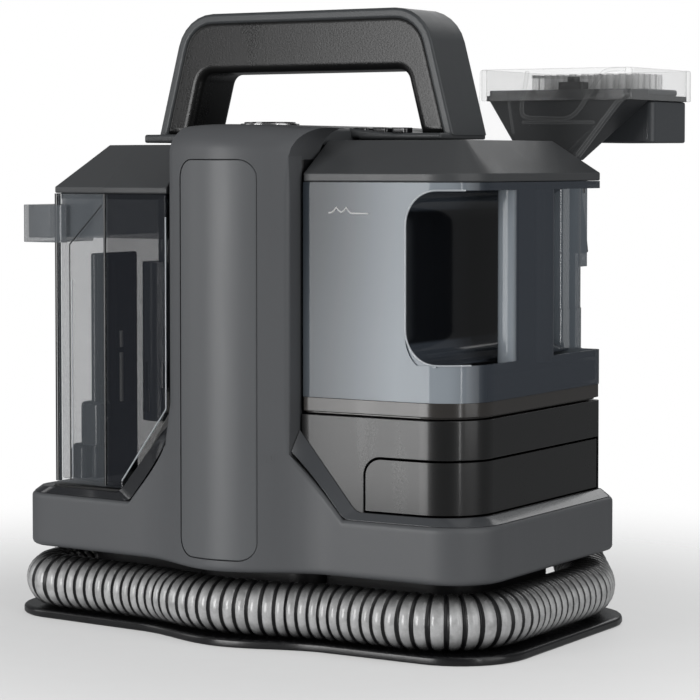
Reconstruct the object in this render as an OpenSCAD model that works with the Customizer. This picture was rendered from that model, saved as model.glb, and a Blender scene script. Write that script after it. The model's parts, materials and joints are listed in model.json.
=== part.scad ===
// Spot carpet cleaner: a low machine with a clean water tank and a dirty water tank on either
// side of a central column, a carrying handle, and a hand tool on a suction hose that is wound
// round the foot. Millimetres. The origin is on the floor at the middle of the base plate,
// the front faces -Y, the clean water tank is on the +X side, and Z is up.

/* [Base] */
// Width of the base plate
base_w = 318; // [314:1:322]
// Thickness of the base plate
base_t = 5; // [4.5:0.1:5]
// Distance from the origin to the rear edge of the base plate
base_rear = 92; // [88:1:94]

/* [Housing] */
// Inset of the housing from each end of the base plate
housing_in = 10; // [8:1:10]
// Height of the lower edge of the housing, above the wound hose
skirt_z = 40; // [40:0.5:41]
// Height of the ledge that the tank bays start from
ledge_z = 70; // [69:0.5:70]
// Width of the column between the tanks
column_w = 80; // [78:1:80]
// Height of the column and the hood
column_z = 276; // [275:0.5:277]
// How far the middle of the front swells forward
swell = 19.5; // [16:0.5:20]
// Half of the width over which the front swells
swell_half = 62; // [58:1:64]
// Wall thickness of the housing mouldings
wall = 2.5; // [2:0.1:2.5]

/* [Clean water tank] */
// Height of the top of the tray that the tank stands on
tray_z = 123.7; // [122:0.1:124.5]
// Height of the accessory drawer's top
drawer_z = 102.2; // [98:0.5:103]
// Height of the clear tank body's floor
tank_z = 132.8; // [132:0.2:134]
// Height of the rim of the clear tank body
tank_rim_z = 245.5; // [243:0.5:246]
// Height of the top of both tank lids
lid_z = 267.5; // [265:0.5:268]
// Radius of the front corner of the tank, the tray and the drawer
tank_corner = 28; // [24:1:30]

/* [Dirty water tank] */
// Height of the tank's floor
dirty_z = 76; // [75.5:0.1:77]
// Height of the tank's rim
dirty_rim_z = 238.5; // [236:0.5:240]
// Radius of the separator tube
separator_r = 17; // [16:0.5:17]

/* [Handle] */
// Height of the top of the handle
handle_z = 339.5; // [336:0.5:342]
// Half width of the handle where it meets the hood
handle_half = 96; // [94:0.5:97]
// Lean of the handle's legs, in degrees
handle_lean = 14.8; // [14:0.1:15]
// Height of the underside of the grip
grip_z = 306; // [304:0.5:308]
// Radius of the handle's outer corners
handle_corner = 24; // [20:1:26]

/* [Hose and hand tool] */
// Outer radius of the suction hose
hose_r = 15; // [14:0.1:15]
// Outer radius of the wand
wand_r = 15; // [14:0.1:15]
// Height of the mouth of the hand tool when it is parked
mouth_z = 309; // [307:0.5:310]

/* [Hidden] */
$fn = 64;

eps = 0.02;
// Gap between pieces of one body, and gap beside a piece that slides
fit = 0.2;
slide_gap = 0.5;

// Front wings of the housing and of the base plate: Y where each wing starts, and the slope
// with which the left wing turns away
skirt_right_y = -85.5;
skirt_left_y = -85;
base_right_y = -90;
base_left_y = -88;
left_slope = 0.076;
base_swell = swell - 5;

skirt_half = base_w / 2 - housing_in;
skirt_rear = 82;
skirt_corner_left = 20;
skirt_corner_right = 30;
skirt_corner_rear = 12;
column_half = column_w / 2;
column_back = -78;
column_round = 14;
panel_left = -24;
panel_right = 25;
panel_bottom = 46;
panel_top = 257.6;
panel_corner = 10;
panel_t = 1.2;

// Bays of the two tanks
bay_x = column_half + 1.3;
tray_half = 140.5;
tray_front = -80.5;
tray_rear = 74.5;
drawer_left = 80.6;
drawer_bottom = 75.2;
drawer_rear = 71;
drawer_round = 9;     // radius of the top left corner, seen from the front
drawer_gap = 1.1;     // seam between the drawer and the tray
tank_left = 42;
tank_half = 141;
tank_front = -80;
tank_rear = 73.6;
tank_box = [tank_left, tank_front, tank_half, tank_rear];
tank_wall = 2.2;
foot_z = tray_z + slide_gap;
plinth_h = 1.2;      // height of the plinth under the tank's foot
tank_end = 104;      // where the closed body of the clean tank ends and its hand gap starts
gap_bottom = 148;    // floor of the hand gap
rim_front = tank_rim_z - 4;   // underside of the flange over the hand gap
gap_round = 18;
lid_band = 4.5;      // height of the straight band under the lids' slopes

dirty_right = -47;
dirty_left = -126.5;
dirty_front = -78;
dirty_rear = 73;
dirty_hip = -88.5;   // where the front of the dirty tank turns back
dirty_hip_y = -73.3;
cut_top = [-46.7, 121];
cut_bottom = [-77, 80];
cradle_corner = 8;

// Spine: the upright frame inside the column
spine_half = 39.5;
spine_front = -77.6;
spine_rear = 76;
spine_top = 268.6;
spine_wall = 3;
spine_box = [-spine_half, spine_front, spine_half, spine_rear];

// Motor and fan stand on one vertical axis
fan_y = 30;
fan_r = 30;
motor_r = 31;
shaft_r = 3;
fan_z = 162;

// Hose: the route of its middle line, from the port at the back, round the foot, and up
// behind the clean tank into the wand
hose_lie = base_t + 0.4 + hose_r;
wand_x = 102;
wand_y = 93;
cuff_z = 112;
hose_route = [
  [-18, 75, hose_lie], [-30, 75, hose_lie], [-55, 75, hose_lie], [-80, 75, hose_lie],
  [-105, 75, hose_lie], [-122, 71, hose_lie], [-135, 59, hose_lie], [-141, 42, hose_lie],
  [-141, 20, hose_lie], [-141, 0, hose_lie], [-141, -20, hose_lie], [-141, -40, hose_lie],
  [-138.5, -60, hose_lie], [-127, -72.5, hose_lie], [-106, -75, hose_lie], [-84, -76, hose_lie],
  [-62, -78, hose_lie], [-42, -82, hose_lie], [-22, -88, hose_lie], [0, -91, hose_lie],
  [22, -89, hose_lie], [42, -84, hose_lie], [62, -81, hose_lie], [85, -81, hose_lie],
  [108, -81, hose_lie], [126, -76, hose_lie], [139, -63, hose_lie], [144, -45, hose_lie],
  [144, -20, hose_lie], [144, 5, hose_lie], [144, 28, hose_lie], [143, 48, hose_lie],
  [137, 67, hose_lie], [127, 84, 22], [115, 98, 29], [106, 104, 42], [102, 104, 57],
  [102, 102, 71], [102, 97, 85], [102, 94, 96], [102, 93, 104], [102, 93, cuff_z]
];

// ---- helpers -------------------------------------------------------------------------

function arc(c, r, a0, a1, n = 8) =
  r <= 0 ? [c] : [for (i = [0:n]) c + r * [cos(a0 + (a1 - a0) * i / n), sin(a0 + (a1 - a0) * i / n)]];

// Front line of the housing or the base plate at x: straight wings with a swell between them
function front_y(x, right, left, out) =
  right + (left - right) * min(1, max(0, (swell_half - x) / (2 * swell_half)))
  + left_slope * max(0, -x - swell_half)
  - (abs(x) < swell_half ? out * (1 + cos(180 * x / swell_half)) / 2 : 0);

// Whole outline seen from above, pulled in by inset; its corners have the radii rl at the front
// left, rf at the front right and rr at the rear
function foot_outline(half, right, left, out, rear, rl, rf, rr, inset = 0) =
  let (fl = front_y(-half + rl, right, left, out))
  concat(
    arc([-half + rl, fl + rl], rl - inset, 180, 270),
    [for (x = [-swell_half - 4:6:swell_half + 4]) [x, front_y(x, right, left, out) + inset]],
    arc([half - rf, right + rf], rf - inset, 270, 360),
    arc([half - rr, rear - rr], rr - inset, 0, 90),
    arc([-half + rr, rear - rr], rr - inset, 90, 180));

function skirt_outline(inset = 0) =
  foot_outline(skirt_half, skirt_right_y, skirt_left_y, swell, skirt_rear,
               skirt_corner_left, skirt_corner_right, skirt_corner_rear, inset);

// Front of the column, from one side to the other and closed straight across the back
function column_outline(inset = 0, back = column_back) =
  concat(
    [[-column_half + inset, back]],
    [for (i = [0:16])
      let (x = -column_half + inset + (column_w - 2 * inset) * i / 16)
      [x, front_y(x, skirt_right_y, skirt_left_y, swell) + inset]],
    [[column_half - inset, back]]);

// Rectangle [x0, y0, x1, y1] with its own radius at each corner:
// r = [front left, front right, rear right, rear left]
module corner_rect(box, r) {
  difference() {
    translate([box[0], box[1]]) square([box[2] - box[0], box[3] - box[1]]);
    if (r[0] > 0) corner_cut([box[0], box[1]], [1, 1], r[0]);
    if (r[1] > 0) corner_cut([box[2], box[1]], [-1, 1], r[1]);
    if (r[2] > 0) corner_cut([box[2], box[3]], [-1, -1], r[2]);
    if (r[3] > 0) corner_cut([box[0], box[3]], [1, -1], r[3]);
  }
}

module corner_cut(at, turn, r) {
  translate(at) difference() {
    translate([min(0, turn[0] * r) - (turn[0] > 0 ? 1 : 0), min(0, turn[1] * r) - (turn[1] > 0 ? 1 : 0)])
      square(r + 1);
    translate([turn[0] * r, turn[1] * r]) circle(r);
  }
}

// Rectangle with the same radius at each corner
module round_rect(box, r) { corner_rect(box, [r, r, r, r]); }

function shrunk(box, d) = [box[0] + d, box[1] + d, box[2] - d, box[3] - d];

module slab(z0, z1) { translate([0, 0, z0]) linear_extrude(z1 - z0) children(); }

// A flat shape drawn in X and Z, standing from y0 to y1
module upright(y0, y1) { translate([0, y1, 0]) rotate([90, 0, 0]) linear_extrude(y1 - y0) children(); }

// A flat shape drawn in Y and Z, standing from x0 to x1
module sideways(x0, x1) {
  translate([x0, 0, 0]) rotate([90, 0, 90]) linear_extrude(x1 - x0) children();
}

module block(from, to) { translate(from) cube(to - from); }

module rod(from, length, r, turn = [0, 0, 0]) {
  translate(from) rotate(turn) cylinder(h = length, r = r);
}

// Tube swept along a route; the side direction is carried from ring to ring
function unit(v) = v / norm(v);
function heading(p, i) = unit(p[min(i + 1, len(p) - 1)] - p[max(i - 1, 0)]);
function carried(p, i, side) =
  i >= len(p) ? []
  : let (t = heading(p, i), s = unit(side - t * (side * t))) concat([s], carried(p, i + 1, s));

module swept_rod(p, r, sides, side = [0, 0, 1]) {
  s = carried(p, 0, side);
  n = len(p);
  points = [for (i = [0:n - 1]) let (t = heading(p, i), b = cross(t, s[i]))
    for (k = [0:sides - 1]) p[i] + r * (cos(360 * k / sides) * s[i] + sin(360 * k / sides) * b)];
  faces = concat(
    [[for (k = [0:sides - 1]) k]],
    [[for (k = [sides - 1:-1:0]) (n - 1) * sides + k]],
    [for (i = [0:n - 2], k = [0:sides - 1]) let (m = (k + 1) % sides)
      [i * sides + k, (i + 1) * sides + k, (i + 1) * sides + m, i * sides + m]]);
  polyhedron(points = points, faces = faces, convexity = 10);
}

// ---- base ----------------------------------------------------------------------------

pad_places = [[-128, -48], [126, -54], [-126, 60], [126, 60]];
rib_x = [-100, 0, 100];
screw_places = [[rib_x[0], -30], [rib_x[2], -30], [rib_x[0], 35], [rib_x[2], 35]];
pad_r = 9;
pad_t = 1.6;

module base_plate() {
  color([0.10, 0.10, 0.11]) difference() {
    slab(0, base_t)
      polygon(foot_outline(base_w / 2, base_right_y, base_left_y, base_swell, base_rear, 32, 40, 35));
    for (p = pad_places) rod([p[0], p[1], -eps], pad_t + eps, pad_r + fit);
    for (p = screw_places) {
      rod([p[0], p[1], -1], base_t + 2, 2.2);
      rod([p[0], p[1], -1], 3.2, 4.2);
    }
  }
}

module base_pads() {
  color([0.05, 0.05, 0.05]) for (p = pad_places) rod([p[0], p[1], 0], pad_t, pad_r);
}

module base_screws() {
  color("silver") for (p = screw_places) difference() {
    union() {
      rod([p[0], p[1], 0.4], 1.7, 3.9);
      rod([p[0], p[1], 2], 10, 1.9);
    }
    for (a = [0, 90]) translate([p[0], p[1], 0.4]) rotate(a) cube([4, 0.9, 1.6], center = true);
  }
}

core_box = [-122, -57, 125, 57];
core_nose = [-36, -71, 42, -40];

module hose_core() {
  color([0.07, 0.07, 0.08]) {
    slab(base_t, skirt_z + 0.5) difference() {
      union() {
        round_rect(core_box, 24);
        corner_rect(core_nose, [14, 14, 0, 0]);
      }
      round_rect(shrunk(core_box, 3), 21);
      corner_rect([core_nose[0] + 3, core_nose[1] + 3, core_nose[2] - 3, core_nose[3]],
                  [11, 11, 0, 0]);
    }
    difference() {
      for (x = rib_x) block([x - 1.2, core_box[1] + 2, base_t], [x + 1.2, core_box[3] - 2, skirt_z + 0.5]);
      for (p = screw_places) rod([p[0], p[1], base_t], skirt_z, 4);
    }
    for (p = screw_places) difference() {
      rod([p[0], p[1], base_t], skirt_z + 0.5 - base_t, 5);
      rod([p[0], p[1], base_t - eps], 8, 1.95);
    }
  }
}

module deck_plate() {
  color([0.07, 0.07, 0.08]) difference() {
    slab(skirt_z + 0.5, skirt_z + 3.5) polygon(skirt_outline(wall + fit));
    rod([0, -45, skirt_z], 5, 12);
    rod([0, 30, skirt_z], 5, 18);
  }
}

// ---- housing -------------------------------------------------------------------------

module front_shell() {
  color([0.30, 0.31, 0.32]) difference() {
    union() {
      slab(skirt_z, ledge_z) polygon(skirt_outline(0));
      intersection() {
        slab(ledge_z - 1, column_z) polygon(column_outline(0));
        column_top_profile(0);
      }
      gusset(-1);
      gusset(1);
    }
    // the skirt's hollow, which runs on into the column's
    slab(skirt_z - 1, ledge_z + 1) polygon(skirt_outline(wall));
    intersection() {
      slab(skirt_z - 1, column_z - wall) polygon(column_outline(wall, column_back + 1));
      column_top_profile(wall);
    }
    panel_pocket();
  }
}

// Side view of the column's front: straight, with a rounded top edge
module column_top_profile(inset) {
  top = column_z - inset;
  front = -swell - 86 + inset;
  r = column_round - inset;
  sideways(-column_half - 1, column_half + 1) union() {
    translate([front, 0]) square([-40 - front, top - r]);
    translate([front + r, 0]) square([-40 - front - r, top]);
    translate([front + r, top - r]) circle(r);
  }
}

// Triangle that carries the front from the column down to the ledge, in front of the bays
module gusset(side) {
  upright(-88.5, -82.5)
    polygon([[side * (column_half - 4), ledge_z - 3], [side * (column_half - 4), 104],
             [side * column_half, 103], [side * 69, ledge_z], [side * 69, ledge_z - 3]]);
}

// Slice of the column's front behind the panel's outline, from one depth to another
module panel_form(grow, outer, inner) {
  intersection() {
    upright(-120, -80)
      round_rect(shrunk([panel_left, panel_bottom, panel_right, panel_top], -grow), panel_corner);
    slab(skirt_z, column_z) difference() {
      polygon(column_outline(outer));
      polygon(column_outline(inner));
    }
  }
}

module panel_pocket() { panel_form(fit, -3, panel_t + fit); }

module column_panel() { color([0.31, 0.32, 0.33]) panel_form(0, 0, panel_t); }

spigot_y = 20;
spigot_z = 142.5;
duct_y = -30;
duct_z = 215;

module spine_frame() {
  color([0.13, 0.13, 0.14]) difference() {
    slab(skirt_z + 3.5, spine_top) round_rect(spine_box, 3);
    // hollow below the fan's floor and above it
    slab(skirt_z + 3, fan_z - 8) round_rect(shrunk(spine_box, spine_wall), 1);
    slab(fan_z - 5, spine_top + 1) round_rect(shrunk(spine_box, spine_wall), 1);
    rod([0, fan_y, fan_z - 9], 6, 12);
    rod([30, spigot_y, spigot_z], 20, 7.2, [0, 90, 0]);
    rod([-50, duct_y, duct_z], 20, 14, [0, 90, 0]);
    block([-24, 60, 200], [24, 90, 246]);
    block([-30, spine_front - 1, 90], [30, spine_front + 4, 140]);
  }
}

grille_box = [-26, 204, 26, 242];
gland_at = [0, skirt_rear, 88];

module rear_cover() {
  color([0.28, 0.29, 0.30]) difference() {
    slab(ledge_z + fit, spine_top)
      corner_rect([-column_half, spine_rear - 10, column_half, skirt_rear], [0, 0, 8, 8]);
    slab(ledge_z, spine_top + 1)
      corner_rect([-spine_half - 0.1, spine_rear - 12, spine_half + 0.1, spine_rear + fit], [0, 0, 3, 3]);
    slab(ledge_z + 4, spine_top - 3)
      corner_rect([-spine_half + 4, spine_rear - 12, spine_half - 4, skirt_rear - wall], [0, 0, 3, 3]);
    upright(70, 100) round_rect(shrunk(grille_box, -fit), 4);
    rod([gland_at[0], 90, gland_at[2]], 20, 7.2, [90, 0, 0]);
  }
}

module exhaust_grille() {
  color([0.08, 0.08, 0.09]) difference() {
    upright(skirt_rear - 3, skirt_rear + 0.6) round_rect(grille_box, 4);
    for (i = [0:6]) block([-22, 70, grille_box[1] + 4 + i * 5], [22, 100, grille_box[1] + 6.4 + i * 5]);
  }
}

module power_gland() {
  color([0.06, 0.06, 0.06]) difference() {
    union() {
      rod([gland_at[0], skirt_rear + 1.5, gland_at[2]], 1.5, 10, [90, 0, 0]);
      rod([gland_at[0], skirt_rear + 6, gland_at[2]], 11.5, 7, [90, 0, 0]);
    }
    rod([gland_at[0], 100, gland_at[2]], 40, 3.6, [90, 0, 0]);
  }
}

// Top cover over the spine, with a wing over each tank
hood_wing = 98;
hood_front = -28;
hood_rear = 25;
hood_z = spine_top + 0.4;
wing_z = 271.5;
button_y = -47;
button_r = 13.9;
key_places = [[45, -23], [57, -23], [69, -23]];
key_half = [5, 4];

module top_hood() {
  color([0.27, 0.28, 0.29]) difference() {
    union() {
      upright(hood_front, hood_rear) polygon([
        [-hood_wing, hood_z - 2.2], [-hood_wing, wing_z - 1], [-hood_wing + 3, wing_z], [-66, wing_z],
        [-column_half, column_z - 1.8], [0, column_z], [column_half, column_z - 1.8], [66, wing_z],
        [hood_wing - 3, wing_z], [hood_wing, wing_z - 1], [hood_wing, hood_z - 0.8],
        [column_half + 5, hood_z - 0.8], [column_half + 4, hood_z],
        [-column_half - 4, hood_z], [-column_half - 6, hood_z - 2.2]]);
      upright(column_back + fit, skirt_rear) polygon([
        [-column_half, hood_z], [-column_half, column_z - 1.8], [0, column_z],
        [column_half, column_z - 1.8], [column_half, hood_z]]);
    }
    rod([0, button_y, hood_z + 2], 10, 16.2);
    for (p = key_places)
      block([p[0] - key_half[0] - 0.3, p[1] - key_half[1] - 0.3, hood_z + 1.2],
            [p[0] + key_half[0] + 0.3, p[1] + key_half[1] + 0.3, column_z + 2]);
  }
}

module power_ring() {
  color("silver") difference() {
    rod([0, button_y, hood_z + 2], column_z + 0.8 - hood_z - 2, 16);
    rod([0, button_y, hood_z + 1], 12, button_r + 0.35);
  }
}

module power_button() {
  color([0.06, 0.06, 0.07]) difference() {
    rod([0, button_y, hood_z + 3.6], column_z + 1.6 - hood_z - 3.6, button_r);
    translate([0, button_y, column_z + 1.6]) difference() {
      cylinder(h = 1, r = 6.2, center = true);
      cylinder(h = 2, r = 5.2, center = true);
    }
  }
}

module mode_key(i) {
  p = key_places[i];
  color([0.05, 0.05, 0.06])
    slab(hood_z + 2.3, wing_z + 3)
      round_rect([p[0] - key_half[0], p[1] - key_half[1], p[0] + key_half[0], p[1] + key_half[1]], 2);
}

module mode_key_1() { mode_key(0); }
module mode_key_2() { mode_key(1); }
module mode_key_3() { mode_key(2); }

// ---- bevelled frames round the two bays ------------------------------------------------

trim_z = 74.2;
trim_in = 8.2;

// Sloping ledge from the skirt's upper edge to the bay, for the right side
module ledge_ring(bay, corner) {
  difference() {
    intersection() {
      hull() {
        slab(ledge_z + eps, ledge_z + 2 * eps) polygon(skirt_outline(0));
        slab(trim_z - eps, trim_z) polygon(skirt_outline(trim_in - 2));
      }
      block([column_half + fit, -84.9, ledge_z], [skirt_half + 1, skirt_rear, trim_z + 1]);
    }
    slab(ledge_z - 1, trim_z + 1) corner_rect(bay, [0, corner, 3, 0]);
    block([0, -100, ledge_z - 1], [69.4, -82.3, trim_z + 1]);
  }
}

module right_trim() {
  color([0.33, 0.34, 0.35]) {
    ledge_ring([column_half - 1, tray_front - 0.3, tray_half + 0.3, tray_rear + 0.3], tank_corner);
    upright(-82.2, -80.8) polygon([[column_half + fit, trim_z + 0.2], [column_half + fit, 114],
                                   [75.5, trim_z + 0.2]]);
  }
}

module left_trim() {
  color([0.16, 0.16, 0.17]) {
    mirror([1, 0, 0])
      ledge_ring([column_half - 1, dirty_front - 0.5, -dirty_left + 2.6, dirty_rear + 1], cradle_corner);
    upright(-82.2, -80.8) polygon([[-column_half - fit, trim_z + 0.2], [-column_half - fit, 114],
                                   [-75.5, trim_z + 0.2]]);
  }
}

// ---- bay under the clean tank ----------------------------------------------------------

module tank_tray() {
  color([0.10, 0.10, 0.10]) difference() {
    slab(ledge_z + fit, tray_z)
      corner_rect([bay_x, tray_front, tray_half, tray_rear], [0, tank_corner, 3, 0]);
    // pocket of the drawer, open to the front and to the right
    upright(tray_front - 1, drawer_rear + slide_gap) drawer_view(drawer_gap);
    // hollow beside the drawer and above it
    block([bay_x + wall, tray_front + wall, ledge_z - 1], [drawer_left - 5, tray_rear - wall, tray_z - 3]);
    slab(drawer_z + 3.5, tray_z - 3)
      corner_rect([drawer_left - 2, tray_front + wall, tray_half - wall, tray_rear - wall],
                  [0, tank_corner - wall, 1, 0]);
    rod([108, 0, tray_z - 1], 2, 3);
  }
}

// Front view of the drawer, or of its pocket when it is grown
module drawer_view(grow) {
  corner_rect([drawer_left - grow, drawer_bottom - grow, tray_half + 1, drawer_z + grow],
              [0, 0, 0, drawer_round + grow]);
}

module accessory_drawer() {
  color([0.09, 0.09, 0.09]) difference() {
    intersection() {
      slab(drawer_bottom, drawer_z)
        corner_rect([drawer_left, tray_front, tray_half, drawer_rear], [0, tank_corner, 2, 2]);
      upright(tray_front - 1, drawer_rear + 1) drawer_view(0);
    }
    slab(drawer_bottom + 2.5, drawer_z + 1)
      corner_rect([drawer_left + 2.5, tray_front + 2.5, tray_half - 2.5, drawer_rear - 2.5],
                  [1, tank_corner - 2.5, 2, 2]);
  }
}

// ---- clean water tank ------------------------------------------------------------------

module clean_tank_foot() {
  color([0.20, 0.19, 0.18]) difference() {
    union() {
      slab(foot_z + plinth_h, tank_z)
        corner_rect([tank_left + 0.6, tank_front - 0.6, tank_half - 0.4, tank_rear],
                    [0, tank_corner, 3, 0]);
      // plinth that leaves a shadow gap over the tray
      slab(foot_z, foot_z + plinth_h + 1)
        corner_rect([tank_left + 0.6, tank_front + 2, tank_half - 3, tank_rear - 1],
                    [0, tank_corner - 2, 2, 0]);
    }
    slab(foot_z + 2.5, tank_z + 1)
      corner_rect([tank_left + 4, tank_front + 3, tank_half - 4, tank_rear - 4], [0, tank_corner - 3, 1, 0]);
  }
}

// Front view of the closed body and of the hand gap beside it
module tank_front_view(inset) {
  difference() {
    translate([tank_left + inset, tank_z + inset])
      square([tank_half - tank_left - 2 * inset, tank_rim_z - tank_z - inset + (inset > 0 ? 1 : 0)]);
    corner_rect([tank_end - inset, gap_bottom - inset, tank_half + 1, rim_front + inset],
                [gap_round, 0, 0, gap_round]);
  }
}

module clean_tank() {
  color([0.45, 0.49, 0.54, 0.75]) {
    difference() {
      intersection() {
        slab(tank_z, tank_rim_z)
          corner_rect(tank_box, [0, tank_corner, 3, 0]);
        upright(tank_front - 1, tank_rear + 1) union() {
          tank_front_view(0);
          translate([tank_end - 1, tank_z]) square([tank_half - tank_end + 1, gap_bottom - tank_z + 4]);
        }
      }
      // water space
      intersection() {
        slab(tank_z + tank_wall, tank_rim_z + 2)
          corner_rect(shrunk(tank_box, tank_wall), [0, tank_corner - tank_wall, 1, 0]);
        upright(tank_front, tank_rear) intersection() {
          tank_front_view(tank_wall);
          union() {
            translate([tank_left, tank_z]) square([tank_end - tank_wall - tank_left, 200]);
            translate([tank_left, tank_z]) square([200, gap_bottom - tank_wall - tank_z]);
            translate([tank_left, rim_front + 2]) square([200, 20]);
          }
        }
      }
      // dish over the low end, inside its raised rim
      slab(gap_bottom, gap_bottom + 5)
        corner_rect([tank_end + 1, tank_front + tank_wall, tank_half - tank_wall, tank_rear - tank_wall],
                    [0, tank_corner - tank_wall, 1, 0]);
      rod([tank_left - 1, spigot_y, spigot_z], tank_wall + 2, 5, [0, 90, 0]);
    }
    // upright bar at the outer end, which the hand closes round
    slab(gap_bottom - 0.5, rim_front + 0.5)
      round_rect([tank_half - 12, -30, tank_half, 19], 5);
  }
}

// Straight band and sloping top of the clean tank's lid, pulled in by inset
module clean_lid_form(inset) {
  band_z = tank_rim_z + lid_band;
  slab(tank_rim_z + fit - inset, band_z)
    corner_rect(shrunk(tank_box, inset), [0, tank_corner - inset, 3, 0]);
  hull() {
    slab(band_z - eps, band_z) corner_rect(shrunk(tank_box, inset), [0, tank_corner - inset, 3, 0]);
    slab(lid_z - inset - eps, lid_z - inset)
      corner_rect([tank_left + inset, tank_front + 25, tank_half - 18, tank_rear - 23], [0, 5, 3, 0]);
  }
}

module clean_tank_lid() {
  color([0.27, 0.27, 0.28]) difference() {
    clean_lid_form(0);
    clean_lid_form(wall);
  }
}

module clean_tank_seal() {
  color([0.05, 0.05, 0.05])
    slab(tank_rim_z - 3, tank_rim_z + fit) difference() {
      corner_rect([tank_left + 2.4, tank_front + 2.4, tank_end - 2.4, tank_rear - 2.4], [0, 2, 1, 0]);
      corner_rect([tank_left + 4.4, tank_front + 4.4, tank_end - 4.4, tank_rear - 4.4], [0, 2, 1, 0]);
    }
}

spigot_reach = 10;
spigot_x = tank_left - spigot_reach;

module outlet_spigot() {
  color([0.10, 0.10, 0.11]) difference() {
    union() {
      rod([spigot_x, spigot_y, spigot_z], spigot_reach + 5, 4.8, [0, 90, 0]);
      rod([tank_left + tank_wall, spigot_y, spigot_z], 2, 7, [0, 90, 0]);
    }
    rod([spigot_x - 1, spigot_y, spigot_z], 30, 2, [0, 90, 0]);
    rod([spigot_x + 1.5, spigot_y, spigot_z], 10, 3.4, [0, 90, 0]);
  }
}

module valve_plunger() {
  color("silver") {
    rod([spigot_x - 1, spigot_y, spigot_z], 7.5, 1.4, [0, 90, 0]);
    rod([spigot_x + 1.6, spigot_y, spigot_z], 1.6, 3, [0, 90, 0]);
  }
}

module valve_spring() {
  turns = 5;
  steps = 12;
  color("silver")
    swept_rod([for (i = [0:turns * steps])
      [spigot_x + 3.7 + 7.2 * i / (turns * steps),
       spigot_y + 2.7 * cos(360 * i / steps), spigot_z + 2.7 * sin(360 * i / steps)]],
      0.35, 6, [1, 0, 0]);
}

// ---- bay and tank for dirty water --------------------------------------------------------

module dirty_cradle() {
  color([0.10, 0.10, 0.10]) {
    slab(ledge_z + fit, dirty_z - slide_gap) difference() {
      corner_rect([dirty_left - 2, dirty_front, -column_half - 1, dirty_rear], [cradle_corner, 0, 0, 3]);
      translate([-100, 20]) circle(7);
    }
    upright(dirty_front, dirty_rear) difference() {
      polygon([[-column_half - 1, dirty_z - 1], [-column_half - 1, cut_top[1] - 2],
               [cut_top[0] + 0.5, cut_top[1] - 2], [cut_bottom[0] + 3, dirty_z - 1]]);
      polygon([[-column_half - 4, dirty_z - 2], [-column_half - 4, cut_top[1] - 9],
               [cut_bottom[0] + 12, dirty_z - 2]]);
    }
  }
}

function dirty_plan(inset = 0) = [
  [dirty_right - inset, dirty_front + inset], [dirty_right - inset, dirty_rear - inset],
  [dirty_left + inset, dirty_rear - inset], [dirty_left + inset, dirty_hip_y + inset],
  [dirty_hip + inset / 2, dirty_front + inset]];

function dirty_front_view(inset = 0, top = 0) = [
  [cut_top[0] - inset - 0.3, cut_top[1] + inset / 2], [cut_top[0] - inset - 0.3, dirty_rim_z + top],
  [dirty_left - 1 + inset, dirty_rim_z + top], [dirty_left - 1 + inset, dirty_z + inset],
  [cut_bottom[0] - inset / 2, dirty_z + inset], [cut_bottom[0] - inset / 2, cut_bottom[1]]];

module dirty_tank() {
  color([0.42, 0.45, 0.50, 0.6]) difference() {
    intersection() {
      slab(dirty_z, dirty_rim_z) polygon(dirty_plan(0));
      upright(dirty_front - 1, dirty_rear + 1) polygon(dirty_front_view(0));
    }
    intersection() {
      slab(dirty_z + tank_wall, dirty_rim_z + 1) polygon(dirty_plan(tank_wall));
      upright(dirty_front - 1, dirty_rear + 1) polygon(dirty_front_view(tank_wall, 2));
    }
    // inlet from the spine
    rod([-60, duct_y, duct_z], 20, 13, [0, 90, 0]);
  }
}

module dirty_lid_form(inset) {
  band_z = dirty_rim_z + lid_band - 1;
  slab(dirty_rim_z + fit - inset, band_z) polygon(dirty_plan(inset - 0.5));
  hull() {
    slab(band_z - eps, band_z) polygon(dirty_plan(inset - 0.5));
    slab(lid_z - 2 - inset - eps, lid_z - 2 - inset)
      polygon([[dirty_right - inset, dirty_front + 22], [dirty_right - inset, dirty_rear - 20],
               [dirty_left + 18, dirty_rear - 20], [dirty_left + 18, dirty_hip_y + 26],
               [dirty_hip + 4, dirty_front + 22]]);
  }
}

module dirty_tank_lid() {
  color([0.27, 0.27, 0.28]) difference() {
    dirty_lid_form(0);
    dirty_lid_form(wall);
  }
}

grip_box = [-148, -77, -117, -38];

module dirty_tank_grip() {
  color([0.42, 0.45, 0.50, 0.7]) difference() {
    slab(211, 232) corner_rect(grip_box, [4, 4, 0, 6]);
    slab(213.5, 233)
      corner_rect([grip_box[0] + 2.5, grip_box[1] + 2.5, dirty_left - 3, grip_box[3] - 2.5], [2, 0, 0, 4]);
    // clears the tank's wall
    intersection() {
      slab(205, 240) polygon(dirty_plan(0));
      block([-140, -90, 200], [-90, 0, 240]);
    }
  }
}

module dirty_tank_seal() {
  color([0.05, 0.05, 0.05]) slab(dirty_rim_z - 3, dirty_rim_z + fit) difference() {
    polygon(dirty_plan(tank_wall + 0.2));
    polygon(dirty_plan(tank_wall + 2.2));
  }
}

separator_at = [-74, -34];
separator_z = 111;      // bottom of the float cage
cage_top = 150;
separator_top = 200;

module separator_tube() {
  color([0.14, 0.14, 0.15]) difference() {
    union() {
      rod([separator_at[0], separator_at[1], cage_top], separator_top - cage_top, separator_r);
      rod([separator_at[0], separator_at[1], separator_top - 1], dirty_rim_z - separator_top + 1, 8);
    }
    rod([separator_at[0], separator_at[1], cage_top - 1], separator_top - cage_top - 1, separator_r - 2);
    rod([separator_at[0], separator_at[1], separator_top - 10], dirty_rim_z - separator_top + 11, 6);
  }
}

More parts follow.
